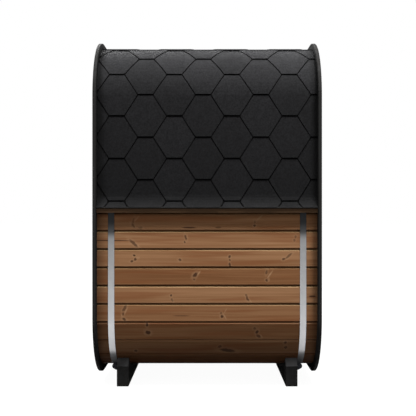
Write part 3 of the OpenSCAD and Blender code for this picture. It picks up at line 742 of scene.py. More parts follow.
# %% Timber of the staves
front_tones = [0.42, 0.74, 0.2, 0.66, 0.8, 0.6, 0.4, 0.7, 0.3, 0.55, 0.65, 0.45, 0.5]
pine_pale, pine_dark, pine_red = colour(154, 116, 84), colour(112, 74, 45), colour(112, 66, 37)


def front_tone(tree, board):
    """The tone of a wall's stave, counted from the lowest. The rear wall counts from 40."""
    middle = calc(tree, "ADD", calc(tree, "MODULO", board, 40.0), 0.5)
    share = calc(tree, "DIVIDE", middle, float(len(front_tones)))
    strip = add(tree, "ValToRGB", {"Fac": share})
    stops = strip.color_ramp
    stops.interpolation = "CONSTANT"
    stops.elements.remove(stops.elements[1])
    for number, tone in enumerate(front_tones):
        start = number / len(front_tones)
        stop = stops.elements[0] if number == 0 else stops.elements.new(start)
        stop.color = (tone, tone, tone, 1)
    return strip.outputs["Color"]


wall_stave_look = timber_material(
    "stave_wall", wall_staves, pine_pale, pine_dark, pine_red, tone=front_tone,
    marks_too=True, wear=0.04, arris=True, rim_shade=0.3, eave_light=0.35)
level_stave_look = timber_material(
    "stave_level", level_staves, pine_pale, pine_dark, pine_red, low_shade=0.8)
corner_stave_look = timber_material(
    "stave_corner", staves_of_a_corner, pine_pale, pine_dark, pine_red, marks_too=True,
    low_shade=0.8, rim_shade=0.5)
print("stave finishes ready")

# %% [markdown]
# ### End walls, door frame, eave boards and handle
# The same recipe serves every other board; only the direction of the grain changes. The
# end walls are level boards, the door frame's members run along their own length with a
# mitre between them, and each bar of the handle is turned from one stick.

# %% Timber of the end walls, the door and the eave
frame_low, frame_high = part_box("door_frame")
wall_foot = 0.04            # the lowest board of an end wall starts this far up the shell


def wall_boards(tree):
    x, y, z, _ = place(tree)
    above = calc(tree, "SUBTRACT", z, shell_bottom + wall_foot)
    board = calc(tree, "FLOOR", calc(tree, "DIVIDE", above, stave_width))
    board = calc(tree, "ADD", board, side_of(tree, x, 50.0))
    return y, z, x, calc(tree, "ADD", board, 300.0)


def frame_members(tree):
    x, y, z, _ = place(tree)
    middle = (frame_low.z + frame_high.z) / 2
    up = calc(tree, "ABSOLUTE", calc(tree, "SUBTRACT", z, middle))
    sideways = calc(tree, "SUBTRACT", calc(tree, "ABSOLUTE", y), frame_high.y)
    heightways = calc(tree, "SUBTRACT", up, frame_high.z - middle)
    upright = calc(tree, "GREATER_THAN", sideways, heightways)
    along, across = either_way(tree, calc(tree, "SUBTRACT", 1.0, upright), upright, y, z)
    board = calc(tree, "ADD", side_of(tree, across), 400.0)
    return along, across, x, calc(tree, "ADD", calc(tree, "MULTIPLY", upright, 3.0), board)


end_wall_look = timber_material(
    "wall_boards", wall_boards, pine_pale, pine_dark, pine_red, share=0.25)
door_frame_look = timber_material(
    "door_frame_timber", frame_members, colour(138, 98, 66), colour(116, 78, 48), pine_red,
    share=0.0)
handle_look = timber_material(
    "handle_timber", sawn_along("z", "y", "x", 500.0, frame_high.x), colour(120, 82, 54),
    colour(96, 62, 38), pine_red, share=0.0, rough=(0.35, 0.5))
eave_look = timber_material(
    "eave_boards", sawn_along("x", "z", "y", 600.0), colour(92, 71, 52), colour(78, 59, 42),
    colour(74, 50, 33), share=0.15, contrast=0.6, wear=0.05, corner_shade=0.3, low_shade=0.25,
    low_shade_heights=(1.062, 1.053))
print("other timber ready")

# %% [markdown]
# ## Black-stained wood
# Rims and cradles are sawn from softwood and stained black. The stain hides the colour and
# leaves a trace of the grain as a relief, and it rubs thin along the corners. A painted
# shade darkens each rim along the arris of its faces.

# %% Black stain
rim_low, rim_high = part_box("rim_right_front")
rim_middle = (rim_low.x + rim_high.x) / 2
edge_shade_start, edge_shade_full = 0.006, 0.011    # distances from the middle of a rim's thickness


def stained_material(name, where, base, lift, rough, specular, wear, dust_and_light, edge_shade=0.0):
    material, tree, shader = new_material(name, Specular_IOR_Level=specular)
    along, across, depth, board = where(tree)
    wood = use(tree, timber, Vector=combined(tree, along, across, depth), Board=board, Tone=0.5,
               Contrast=0.8, Pale=base, Dark=base, Red=base)
    worn = use(tree, edge_wear, Radius=0.0025, Scale=26.0, Amount=wear)
    look = mixed(tree, worn["Mask"], wood["Color"], lift)
    # painted shade along the arris of a rim's faces
    if edge_shade:
        from_middle = calc(tree, "SUBTRACT", calc(tree, "ABSOLUTE", depth), rim_middle)
        from_middle = calc(tree, "ABSOLUTE", from_middle)
        edge_shade_mask = ramp(tree, from_middle, edge_shade_start, edge_shade_full, 0.0, edge_shade)
        look = mixed(tree, edge_shade_mask, look, colour(4, 4, 4))
    settled = use(tree, dust, Scale=7.0, Amount=dust_and_light)["Mask"]
    look = mixed(tree, settled, look, colour(116, 116, 117))
    gloss = ramp(tree, wood["Figure"], 0.0, 1.0, *rough)
    plug(tree, shader.inputs, Base_Color=look, Roughness=gloss)
    bump(tree, shader, wood["Height"], distance=0.0004, strength=0.5, Normal=worn["Normal"])
    return material


def rim_members(tree):
    x, y, z, _ = place(tree)
    height = calc(tree, "SUBTRACT", z, shell_middle)
    up, sideways = calc(tree, "ABSOLUTE", height), calc(tree, "ABSOLUTE", y)
    level = calc(tree, "GREATER_THAN", up, sideways)
    along, across = either_way(tree, level, calc(tree, "SUBTRACT", 1.0, level), y, height)
    return along, across, x, calc(tree, "ADD", side_of(tree, x), 800.0)


rim_look = stained_material(
    "rim_black_stain", rim_members, base=colour(37, 37, 37), lift=colour(58, 57, 56),
    rough=(0.6, 0.8), specular=0.03, wear=0.25, dust_and_light=0.01, edge_shade=0.7)
# The cradles' large dust amount also paints light on their upward bevel in the barrel's shade.
cradle_look = stained_material(
    "cradle_black_stain", sawn_along("y", "z", "x", 700.0), base=colour(27, 27, 27),
    lift=colour(50, 48, 46), rough=(0.5, 0.7), specular=0.08, wear=0.3, dust_and_light=0.8)
print("stain ready")

# %% [markdown]
# ## Bitumen shingles
# A shingle is a felt soaked in bitumen and covered with crushed slate, so it has no
# mirror-like gloss: a fine speckle of granules, each at its own angle, scatters the light.
# The granules come from a small-scale Voronoi, as colour and as bump, and two noises
# gather them into clumps and clouds, since no roll is covered quite evenly.

# %% Granule node group
granules, given, result = new_group(
    "granules",
    {"Vector": Vector((0, 0, 0)), "Size": 0.0016, "Base": (0, 0, 0, 1), "Spread": 0.5},
    {"Color": tuple, "Height": float, "Roughness": float},
)
per_metre = calc(granules, "DIVIDE", 1.0, given["Size"])
grid = {"Vector": given["Vector"], "Scale": per_metre}
grains = add(granules, "TexVoronoi", grid, voronoi_dimensions="3D").outputs
grain_tone = add(granules, "SeparateColor", {0: grains["Color"]}).outputs[0]
cloud = noise(granules, given["Vector"], scale=24.0, detail=4, roughness=0.6)
clumps = noise(granules, given["Vector"], scale=120.0, detail=1)
shade = weighted(granules, grain_tone, 0.5, cloud, 0.4)
shade = calc(granules, "ADD", shade, calc(granules, "MULTIPLY", clumps, 1.2))
darkest, palest = [calc(granules, step, 1.0, given["Spread"]) for step in ("SUBTRACT", "ADD")]
shade = ramp(granules, shade, 0.55, 1.55, darkest, palest)
relief = calc(granules, "SUBTRACT", 1.0, grains["Distance"])
gloss = ramp(granules, grain_tone, 0.0, 1.0, 0.75, 0.95)
plug(granules, result, Color=shaded(granules, given["Base"], shade), Height=relief,
     Roughness=gloss)
print("granule group:", len(granules.nodes), "nodes")

# %% [markdown]
# Painted light makes the upper roof paler, and painted shade darkens the ridge itself. The
# kick over the eave is painted darker, and so is the strip beside each rim and the corners
# that the Ambient Occlusion node finds.

# %% Shingle finish
eave_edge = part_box("roofing_front")[0].z
lighter_from, lighter_to = 1.2, 2.0       # heights between which painted light makes the slate paler
ridge_from, ridge_to = 2.035, 2.064     # and between which painted shade darkens it again
dull_from, dull_to = 2.03, 2.06         # heights between which the slate's low gloss ends
kick_from, kick_to = 0.085, 0.06        # above the eave's edge, between which painted shade darkens the kick
strip_from, strip_to = 0.055, 0.012     # distances before a rim over which painted shade gets deeper

shingle_look, tree, shader = new_material("shingle_granules", Specular_IOR_Level=0.1)
speckle = use(tree, granules, Vector=place(tree)[3], Size=0.0018, Base=colour(17, 17, 18),
              Spread=0.7)
z = place(tree)[2]
inputs = {"Value": z, "From Min": lighter_from, "From Max": lighter_to}
up_the_roof = calc(tree, "POWER", add(tree, "MapRange", inputs).outputs[0], 1.6)
# painted light up the roof, and painted shade at the ridge and on the kick
painted_light = calc(tree, "ADD", calc(tree, "MULTIPLY", up_the_roof, 0.72), 0.85)
painted_light = calc(tree, "MULTIPLY", painted_light, ramp(tree, z, ridge_from, ridge_to, 1.0, 0.45))
kick_shade = ramp(tree, z, eave_edge + kick_from, eave_edge + kick_to, 1.0, 0.8)
tab_tone = add(tree, "Attribute", attribute_name="tab_tone").outputs["Fac"]
varied = calc(tree, "MULTIPLY", ramp(tree, tab_tone, 0.0, 1.0, 0.86, 1.14),
              calc(tree, "MULTIPLY", painted_light, kick_shade))
look = shaded(tree, speckle["Color"], varied)
settled = use(tree, dust, Scale=16.0, Amount=0.035)["Mask"]
look = mixed(tree, settled, look, colour(130, 130, 132))
# painted shade beside the rims and in corners
from_middle = calc(tree, "ABSOLUTE", place(tree)[0])
shade_beside_rim = ramp(tree, from_middle, rim_inside - strip_from, rim_inside - strip_to, 0.0, 0.7)
painted_shade = calc(tree, "MAXIMUM", use(tree, occlusion_shade, Distance=0.1, Amount=0.7)["Mask"], shade_beside_rim)
look = mixed(tree, painted_shade, look, colour(5, 5, 5))
plug(tree, shader.inputs, Base_Color=look, Roughness=speckle["Roughness"],
     Specular_IOR_Level=ramp(tree, z, dull_from, dull_to, 0.1, 0.0))
bump(tree, shader, speckle["Height"], distance=0.0008, strength=0.5)
print("shingle finish ready")

# %% [markdown]
# ### Felt, bitumen and rubber
# The cut edge of a shingle shows bare black bitumen, and the felt under the shingles is
# blacker still, so the open joints between tabs read as lines. The door's seal is black
# rubber. All three are dull and nearly even, so one recipe serves: a noise mixes two
# shades, and makes the roughness and a slight relief as well.

# %% Dull black finishes
def dull_material(name, specular, dark, pale, rough, relief, strength, stretch=(1, 1, 1), **grain):
    material, tree, shader = new_material(name, Specular_IOR_Level=specular)
    texture = noise(tree, scaled(tree, place(tree)[3], *stretch), **grain)
    look = mixed(tree, texture, dark, pale)
    gloss = ramp(tree, texture, 0.3, 0.7, *rough)
    plug(tree, shader.inputs, Base_Color=look, Roughness=gloss)
    bump(tree, shader, texture, relief, strength)
    return material, tree, shader, look


bitumen_look = dull_material(
    "bitumen_cut_edge", specular=0.15, dark=colour(6, 6, 7), pale=colour(14, 14, 15),
    rough=(0.6, 0.9), relief=0.0004, strength=0.4, scale=300.0, detail=3)[0]
seal_look = dull_material(
    "seal_rubber", specular=0.3, dark=colour(18, 18, 18), pale=colour(30, 30, 30),
    rough=(0.55, 0.75), relief=0.0002, strength=0.3, scale=500.0, detail=2)[0]
felt_look, tree, shader, felt = dull_material(
    "underlay_felt", specular=0.03, dark=colour(2, 2, 2), pale=colour(5, 5, 5),
    rough=(0.75, 0.95), relief=0.0004, strength=0.4, stretch=(60, 400, 400), detail=3)
cut_from, cut_to = 0.012, 0.008         # above the eave's edge, where painted light lifts the shade on the felt's cut edge
painted_light_at_cut = ramp(tree, place(tree)[2], eave_edge + cut_from, eave_edge + cut_to)
plug(tree, shader.inputs, Base_Color=mixed(tree, painted_light_at_cut, felt, colour(34, 33, 31)))
print("felt, bitumen and rubber ready")

# %% [markdown]
# ## Steel and glass
# Rolling leaves fine lines along a metal strip, so the roughness and the bump are
# stretched that way. A slow noise over them dulls the metal in patches, as hands and
# weather do.

# %% Brushed metal node group and recipe
brushed, given, result = new_group(
    "brushed",
    {"Vector": Vector((0, 0, 0)), "Low": 0.3, "High": 0.5},
    {"Roughness": float, "Height": float},
)
lines = noise(brushed, given["Vector"], scale=1.0, detail=3)
blotch = noise(brushed, place(brushed)[3], scale=14.0, detail=3)
gloss = weighted(brushed, lines, 0.5, blotch, 0.5)
gloss = ramp(brushed, gloss, 0.35, 0.65, given["Low"], given["High"])
plug(brushed, result, Roughness=gloss, Height=lines)


def metal_material(name, base, across, low, high):
    """Brushed metal. `across` stretches the lines: large numbers go across them."""
    material, tree, shader = new_material(name, Metallic=1.0)
    vector = scaled(tree, place(tree)[3], *across)
    finish = use(tree, brushed, Vector=vector, Low=low, High=high)
    patchy = noise(tree, place(tree)[3], scale=22.0, detail=3)
    look = mixed(tree, patchy, base, tinted(tree, base, 0.8, 0.8, 0.82))
    plug(tree, shader.inputs, Base_Color=look, Roughness=finish["Roughness"])
    bump(tree, shader, finish["Height"], distance=0.0001, strength=0.3)
    return material, tree, shader, look


hinge_look = metal_material(
    "hinge_brushed_steel", colour(188, 188, 186), across=(6, 6, 900), low=0.25, high=0.4)[0]
tightener_look = metal_material(
    "tightener_black_steel", colour(44, 45, 48), across=(60, 60, 60), low=0.4, high=0.6)[0]
print("hinge and tightener steel ready")

# %% [markdown]
# The hoops are rolled strip with a dull zinc skin. Painted light makes the zinc brightest
# low on the wall, and painted shade darkens it under the eave and under the barrel.

# %% Zinc of the hoops
dull_above, brightest_below = 0.89, 0.35   # heights over which painted light brightens the zinc downward
eave_shades = ((0.888, 0.945, 0.82), (0.945, 1.0, 0.135))   # from, to, and how much they add
barrel_from, barrel_to = 0.228, 0.193   # the shade under the barrel grows downward

hoop_look, tree, shader, zinc = metal_material(
    "hoop_zinc", colour(192, 192, 192), across=(900, 6, 6), low=0.42, high=0.56)
z = place(tree)[2]
inputs = {"Value": z, "From Min": dull_above, "From Max": brightest_below}
painted_light = add(tree, "MapRange", inputs).outputs[0]
zinc_with_painted_light = mixed(tree, painted_light, tinted(tree, zinc, 0.53, 0.53, 0.53), zinc)
# painted shadow under the eave and under the barrel
at_wall, in_corner = [ramp(tree, z, low, high, 0.0, most) for low, high, most in eave_shades]
eave_shadow = calc(tree, "ADD", at_wall, in_corner)
barrel_shadow = ramp(tree, z, barrel_from, barrel_to, 0.0, 0.67)
in_shade = calc(tree, "MAXIMUM", eave_shadow, barrel_shadow)
plug(tree, shader.inputs, Base_Color=mixed(tree, in_shade, zinc_with_painted_light, colour(26, 27, 28)))
print("hoop zinc ready")

# %% [markdown]
# The door is one pane of smoked glass. Glass is all in the shader's own sockets; only a
# trace of smearing varies over it, in tint and in roughness.

# %% Door glass
glass_look, tree, shader = new_material(
    "smoked_door_glass", Transmission_Weight=1.0, IOR=1.5, Metallic=0.0)
smear = noise(tree, place(tree)[3], scale=6.0, detail=4)
tint = mixed(tree, smear, colour(150, 136, 122), colour(160, 147, 134))
plug(tree, shader.inputs, Base_Color=tint, Roughness=ramp(tree, smear, 0.4, 0.8, 0.02, 0.06))
print("door glass ready")

# %% [markdown]
# ## Finishes for the CAD solids
# Every solid of the CAD model keeps its shape and takes one of the finishes above. A
# solid's name says what it is, so a short list of how the names start is enough to tell
# which finish each of them gets.

# %% Give every node its finish
finishes = {
    "staves_corner": corner_stave_look,
    "staves_front": wall_stave_look,
    "staves_rear": wall_stave_look,
    "staves_floor": level_stave_look,
    "staves_roof": level_stave_look,
    "end_wall": end_wall_look,
    "door_frame": door_frame_look,
    "door_handle": handle_look,
    "door_glass": glass_look,
    "door_hinges": hinge_look,
    "eave_board": eave_look,
    "cradle": cradle_look,
    "rim": rim_look,
    "roofing": felt_look,
    "hoop": hoop_look,
    "tighteners": tightener_look,
}
for name, solid in frame["nodes"].items():
    finish = next(look for start, look in finishes.items() if name.startswith(start))
    for slot in solid.material_slots:
        slot.material = finish
print(len(frame["nodes"]), "solids finished")

# %% [markdown]
# ## Pieces
# What is too fine for the CAD is made here as meshes. Each piece rides on the sauna's one
# body, with the finishes it is given. Three shapes are enough for all of them: a thin solid
# between two grids of points, a part turned about an axis, and a mitred strip round a
# rectangle.

# %% A piece, and a thin solid
def finish_piece(mesh, name, looks):
    """Turns mesh code into a piece of the sauna with its materials."""
    data = bpy.data.meshes.new(name)
    bmesh.ops.recalc_face_normals(mesh, faces=mesh.faces)
    mesh.to_mesh(data)
    mesh.free()
    for look in looks:
        data.materials.append(look)
    piece = bpy.data.objects.new(name, data)
    scene.collection.objects.link(piece)
    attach(piece, "root")
    print(name, len(data.polygons), "faces")
    return piece


def sheet_solid(mesh, outer, inner):
    """A thin solid between two grids of vertices. Its cut edges take the second material."""
    flat, cut = [], []
    last_row, last_column = len(outer) - 1, len(outer[0]) - 1
    for r in range(last_row):
        for c in range(last_column):
            flat.append((outer[r][c], outer[r][c + 1], outer[r + 1][c + 1], outer[r + 1][c]))
            flat.append((inner[r][c], inner[r + 1][c], inner[r + 1][c + 1], inner[r][c + 1]))
        cut.append((outer[r][0], outer[r + 1][0], inner[r + 1][0], inner[r][0]))
        cut.append((outer[r + 1][-1], outer[r][-1], inner[r][-1], inner[r + 1][-1]))
    for c in range(last_column):
        cut.append((outer[0][c + 1], outer[0][c], inner[0][c], inner[0][c + 1]))
        cut.append((outer[-1][c], outer[-1][c + 1], inner[-1][c + 1], inner[-1][c]))
    faces = []
    for corner_lists, look in ((flat, 0), (cut, 1)):
        for corners in corner_lists:
            faces.append(mesh.faces.new(corners))
            faces[-1].material_index = look
    return faces


print("helpers for thin pieces ready")

# %% [markdown]
# Screws, caps, washers and threads are all round, as if from a lathe: a profile of rings
# is turned about an axis, and a socket's rings are hexagons. A seal is a strip whose
# section goes round a rectangle and turns at each corner along a mitre.

# %% Turned parts and mitred strips
turning_sides = 24


def turned(mesh, at, out, profile, six_sided=()):
    """A part turned about an axis. The profile lists radius and height of its rings, some of
    which may be hexagons."""
    out = Vector(out).normalized()
    across = out.orthogonal().normalized()
    up = out.cross(across)
    rings = []
    for number, (radius, rise) in enumerate(profile):
        ring = []
        for i in range(turning_sides):
            angle = 2 * math.pi * i / turning_sides
            reach_out = radius
            if number in six_sided:
                from_flat = angle % (math.pi / 3) - math.pi / 6
                reach_out = radius * math.cos(math.pi / 6) / math.cos(from_flat)
            direction = across * math.cos(angle) + up * math.sin(angle)
            ring.append(mesh.verts.new(Vector(at) + out * rise + direction * reach_out))
        rings.append(ring)
    for lower, upper in zip(rings, rings[1:]):
        for i in range(turning_sides):
            j = (i + 1) % turning_sides
            mesh.faces.new((lower[i], lower[j], upper[j], upper[i]))
    mesh.faces.new(rings[0][::-1])
    mesh.faces.new(rings[-1])


def screw(mesh, at, out, radius):
    """A screw's low head with a hexagon socket, sunk a little way into the surface."""
    profile = [(radius, -0.0012), (radius, 0.0002), (radius * 0.9, 0.0008),
               (radius * 0.5, 0.0013), (radius * 0.46, 0.0013), (radius * 0.44, -0.0008)]
    turned(mesh, at, out, profile, six_sided=(4, 5))


def mitred_ring(mesh, low, high, strip):
    """A strip round a rectangle of the YZ plane. Its section lists (distance inward, x)."""
    corners = [(low.y, low.z, 1, 1), (high.y, low.z, -1, 1),
               (high.y, high.z, -1, -1), (low.y, high.z, 1, -1)]
    rings = [[mesh.verts.new((x, y + to_y * inward, z + to_z * inward)) for inward, x in strip]
             for y, z, to_y, to_z in corners]
    for first, second in zip(rings, rings[1:] + rings[:1]):
        for i in range(len(strip)):
            j = (i + 1) % len(strip)
            mesh.faces.new((first[i], first[j], second[j], second[i]))


print("helpers for turned and mitred pieces ready")

# %% [markdown]
# ## Shingle tabs
# Hexagonal shingles come as strips with tabs. Laid from the eave up, each strip covers the
# upper half of the tabs below, and what shows is a field of hexagons, each lying a little
# proud of the one below it. So each hexagon is made as its own thin plate, which starts
# flush at its top and stands a shingle's thickness proud at its lower edge. The steps
# between plates then cast the fine shadow lines by themselves. Gaps between the plates
# let the felt show as well: wide under a level edge, narrow along a slanting one.
#
# The plates follow the roof's section: out over the eave, up the wall, round the corner
# and over the top. The section is walked once as a list of points with their distance
# from the eave, and a plate asks it for the place at any distance.

# %% The roof's section
crown_low, crown_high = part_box("roofing_crown")
eave_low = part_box("roofing_front")[0]
roof_half_length = crown_high.x
roof_half = crown_high.y
roof_top = crown_high.z
bend_z = crown_low.z
bend_radius = roof_top - bend_z
bend_steps = 24
covering = 0.007            # the CAD skin's thickness
kick_height, kick_depth, kick_bend, kick_steps = 0.078, 0.034, 1.7, 6

section = []                # distance out from the middle, and height
for i in range(kick_steps, -1, -1):
    t = i / kick_steps
    lean = kick_depth * kick_bend * t ** (kick_bend - 1) / kick_height
    facing = Vector((1, lean)).normalized() * covering
    section.append((roof_half - covering + kick_depth * t ** kick_bend + facing.x,
                    eave_low.z + kick_height * (1 - t) + facing.y))
for i in range(bend_steps + 1):
    angle = math.pi / 2 * i / bend_steps
    section.append((roof_half - bend_radius + bend_radius * math.cos(angle),
                    bend_z + bend_radius * math.sin(angle)))
section.append((0.0, roof_top))
reach = [0.0]
for (y0, z0), (y1, z1) in zip(section, section[1:]):
    reach.append(reach[-1] + math.hypot(y1 - y0, z1 - z0))
roof_length = reach[-1]
print("from the eave to the crown:", round(roof_length, 3), "m; eave stands out",
      round(section[0][0] + eave_low.y, 5), "m from the CAD's")


def roof_point(distance, lift):
    """Distance out from the middle and height, at a distance up from the eave, lifted off."""
    distance = min(max(distance, 0.0), roof_length)
    i = max(k for k in range(len(reach) - 1) if reach[k] <= distance or k == 0)
    (y0, z0), (y1, z1) = section[i], section[i + 1]
    run = math.hypot(y1 - y0, z1 - z0)
    t = (distance - reach[i]) / run
    normal = Vector((z1 - z0, y0 - y1)) / run
    return y0 + (y1 - y0) * t + normal.x * lift, z0 + (z1 - z0) * t + normal.y * lift


def reach_at_height(height):
    """Distance up from the eave of a height on the upright part of the section."""
    for i, ((_, low), (_, high)) in enumerate(zip(section, section[1:])):
        if low <= height <= high:
            return reach[i] + (height - low) / (high - low) * (reach[i + 1] - reach[i])
    raise ValueError("height isn't on the wall")


# %% [markdown]
# A plate is a grid of points between its two edges, a few rows up and a few columns along,
# so that it can bend with the roof. Where the roof ends, at the eave, at the crown or at a
# rim, the grid is cut short, and a sliver too small to be a tab is left out.

# %% One hexagon plate
tab_pitch = 0.3415          # along the roof, between two tabs of one strip
level_edge = 0.0895         # length of a tab's lower edge
slant_run = tab_pitch / 2 - level_edge
shingle_thickness = 0.0052
tab_gap = 0.0027            # the open joint along a tab's slanting edges
slant_share = 1.2           # how much wider that joint is when measured along the roof
first_strip_gap = 0.0045    # the first strip's tabs lie further apart, to let water off
butt_gap = 0.006            # the joint under a tab's level edge
head_gap = 0.003            # and above its top
head_lift = 0.0003          # how far a plate's top stands off the CAD skin
sunk = 0.0004               # how far its underside lies in it
shortest, narrowest = 0.004, 0.002      # smaller slivers are left out
rows, columns = 10, 6


def half_width(t):
    """Half the width of a tab at the share t of its height: narrow ends, wide middle."""
    return level_edge / 2 + slant_run * (1 - abs(2 * t - 1))


def plate(mesh, middle, low, high, side, tone, tone_layer):
    """One hexagon plate: a thin closed solid that follows the roof."""
    start, stop = max(low + butt_gap, 0.0), min(high - head_gap, roof_length)
    side_gap = first_strip_gap if low < 0 else tab_gap * slant_share
    if stop - start < shortest:
        return
    levels = []
    for r in range(rows + 1):
        distance = start + (stop - start) * r / rows
        t = (distance - low) / (high - low)
        wide = half_width(t) - side_gap
        left = max(middle - wide, -roof_half_length)
        right = min(middle + wide, roof_half_length)
        if right - left > narrowest:
            levels.append((distance, left, right, shingle_thickness * (1 - t) + head_lift))
    if len(levels) < 2:
        return
    outer, inner = [], []
    for distance, left, right, lift in levels:
        for sheet, off_skin in ((outer, lift), (inner, -sunk)):
            out, up = roof_point(distance, off_skin)
            sheet.append([mesh.verts.new((left + (right - left) * c / columns, side * out, up))
                          for c in range(columns + 1)])
    for face in sheet_solid(mesh, outer, inner):
        face[tone_layer] = tone


print("a plate is", round(2 * half_width(0.5), 4), "m wide")

# %% [markdown]
# Every second strip is shifted by half a tab. One row of level edges is set by its height
# on the wall, and the others follow from it. On the kick the tabs get a little longer, a
# strip at a time, because the bend takes up part of their length.

# %% The two fields of tabs
strip_rise = 0.1257         # from one strip to the next
kick_drop = 0.0045          # how much longer the tabs get on the kick, a strip at a time
kick_strips = 3             # how many level edges are moved down so
first_level = 0.2877 + shell_middle     # a height with a row of level edges
first_along = -0.1945                  # the middle of one level edge in that row
tab_numbers = range(-4, 6)             # more than fit; the roof's ends cut them off


def shingle_field(name, side):
    random.seed(name)
    mesh = bmesh.new()
    tone_layer = mesh.faces.layers.float.new("tab_tone")
    base = reach_at_height(first_level)
    first_row = -math.ceil(base / strip_rise) - 1
    last_row = math.ceil((roof_length - base) / strip_rise)

    def level(row):
        return base + row * strip_rise - kick_drop * max(0, first_row + kick_strips - row)

    for row in range(first_row, last_row + 1):
        shift = 0.5 if row % 2 else 0.0
        for number in tab_numbers:
            middle = first_along + (number + shift) * tab_pitch
            if abs(middle) < roof_half_length + tab_pitch / 2:
                plate(mesh, middle, level(row), level(row + 2), side, random.random(), tone_layer)
    return finish_piece(mesh, name, [shingle_look, bitumen_look])


shingle_field("shingle_tabs_front", -1)
shingle_field("shingle_tabs_rear", 1)

# %% [markdown]
# The two fields of tabs meet at the crown. There a row of cap pieces bridges the joint,
# laid from one end to the other like tiles: each lies flat on its neighbour's head and
# stands a shingle's thickness proud at its own tail.

# %% Ridge caps
cap_half_width = 0.165
cap_count = 5
cap_overlap = 0.05
cap_clip = 0.018            # how far the corners of a tail are cut back
cap_base = shingle_thickness + 0.0006   # how high a cap's head lies over the crown
cap_depth = 0.002           # how far its underside lies below that

mesh = bmesh.new()
tone_layer = mesh.faces.layers.float.new("tab_tone")
cap_step = 2 * roof_half_length / cap_count
random.seed("ridge_caps")
for number in range(cap_count):
    tail = -roof_half_length + number * cap_step + tab_gap
    head = min(tail + cap_step + cap_overlap, roof_half_length)
    outer, inner = [], []
    for share in (0.0, cap_clip / (head - tail), 0.5, 1.0):
        along = tail + (head - tail) * share
        half = cap_half_width - (cap_clip if share == 0.0 else 0.0)
        lift = cap_base + shingle_thickness * (1 - share)
        for sheet, rise in ((outer, lift), (inner, cap_base - cap_depth)):
            sheet.append([mesh.verts.new((along, half * (2 * c / columns - 1), roof_top + rise))
                          for c in range(columns + 1)])
    tone = random.random()
    for face in sheet_solid(mesh, outer, inner):
        face[tone_layer] = tone
finish_piece(mesh, "ridge_caps", [shingle_look, bitumen_look])

# %% [markdown]
# ## Screws, splines and threads
# Each rim is screwed into the ends of the staves: five screws along each straight side and
# three round each corner. The rim goes round a square with rounded corners, so a quarter
# of it is listed once and turned four times.

# %% Rim screws
screw_ring = 0.962          # half the width of the square that the screws stand on
rim_screw_radius = 0.006
side_screws = (-0.62, -0.31, 0.0, 0.31, 0.62)
corner_screws = (6, 45, 84)             # degrees round a corner

mesh = bmesh.new()
quarter = [(screw_ring, along) for along in side_screws]
for turn in map(math.radians, corner_screws):
    radius = screw_ring - corner_middle
    quarter.append((corner_middle + radius * math.cos(turn),
                    corner_middle + radius * math.sin(turn)))
for end in (-1, 1):
    for quarter_turn in range(4):
        for a, b in quarter:
            y, z = [(a, b), (-b, a), (-a, -b), (b, -a)][quarter_turn]
            at = (end * rim_high.x, y, shell_middle + z)
            screw(mesh, at, (end, 0, 0), rim_screw_radius)
finish_piece(mesh, "rim_screws", [tightener_look])

# %% [markdown]
# The pieces of a rim meet with an open joint of 2 mm, which lets the wood move. A spline of
# thin board is let into both ends there, and keeps daylight from showing through. Each
# joint points straight away from a centre, so a centre and an angle say where it is.

# %% Rim splines
rim_outer = -rim_low.y
rim_rise = 0.025            # the upright's joints lie this much higher than its straight part
spline_inside = 0.014       # how far inside the shell's outline a spline begins
spline_short = 0.002        # how far it stops short of the rim's outer edge
spline_reach = (shell_half - spline_inside, rim_outer - spline_short)
spline_half_length, spline_half_thickness = 0.012, 0.002
upper, lower = (corner_middle, corner_middle), (corner_middle, -corner_middle)
joints = [(upper, math.radians(45)), (upper, math.radians(90)),
          (lower, math.radians(-45)), (lower, math.radians(-90)),
          (upper, math.asin(rim_rise / (rim_outer - corner_middle))),
          ((corner_middle, rim_rise - corner_middle), 0.0)]


def spline(mesh, end, side, centre, turn):
    away = Vector((0, math.cos(turn), math.sin(turn)))
    along = Vector((0, -math.sin(turn), math.cos(turn)))
    grids = []
    for x in (spline_half_thickness, -spline_half_thickness):
        grid = []
        for distance in spline_reach:
            from_centre = Vector((0, *centre)) + away * (distance - corner_middle)
            spots = [from_centre + along * step for step in (-spline_half_length, spline_half_length)]
            grid.append([mesh.verts.new((end * (rim_middle + x), side * p.y, shell_middle + p.z))
                         for p in spots])
        grids.append(grid)
    sheet_solid(mesh, *grids)


mesh = bmesh.new()
for end in (-1, 1):
    for side in (-1, 1):
        for centre, turn in joints:
            spline(mesh, end, side, centre, turn)
finish_piece(mesh, "rim_splines", [rim_look, rim_look])

# %% [markdown]
# A bolt under each lower corner pulls the ends of a hoop together. Its thread shows between
# the two sockets: a row of ridges about the bolt's axis, which lies along the corner's
# tangent.

# %% Tightener threads
bolt_ring = 0.352           # distance of a bolt's axis from the middle of its corner
bolt_turn = math.radians(74.5)
thread_length, thread_pitch = 0.034, 0.00175
core_radius, ridge_radius = 0.0058, 0.0065
hoop_low, hoop_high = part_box("hoop_right_over")
hoop_middle = (hoop_low.x + hoop_high.x) / 2

thread = []
for number in range(int(thread_length / thread_pitch)):
    rise = number * thread_pitch - thread_length / 2
    thread += [(core_radius, rise), (ridge_radius, rise + thread_pitch / 2)]
mesh = bmesh.new()
for end in (-1, 1):
    for side in (-1, 1):
        at = (end * hoop_middle, side * (corner_middle + bolt_ring * math.cos(bolt_turn)),
              shell_middle - corner_middle - bolt_ring * math.sin(bolt_turn))
        turned(mesh, at, (0, -side * math.sin(bolt_turn), -math.cos(bolt_turn)), thread)
finish_piece(mesh, "tightener_threads", [tightener_look])

# %% [markdown]
# ## Door fittings
# The door has screws in its frame, in the hinge leaves and in the clamps that hold the
# glass, and a cap over each pin of the two pull bars. All of them are brushed steel, so
# they are made in one mesh and share the hinges' finish.

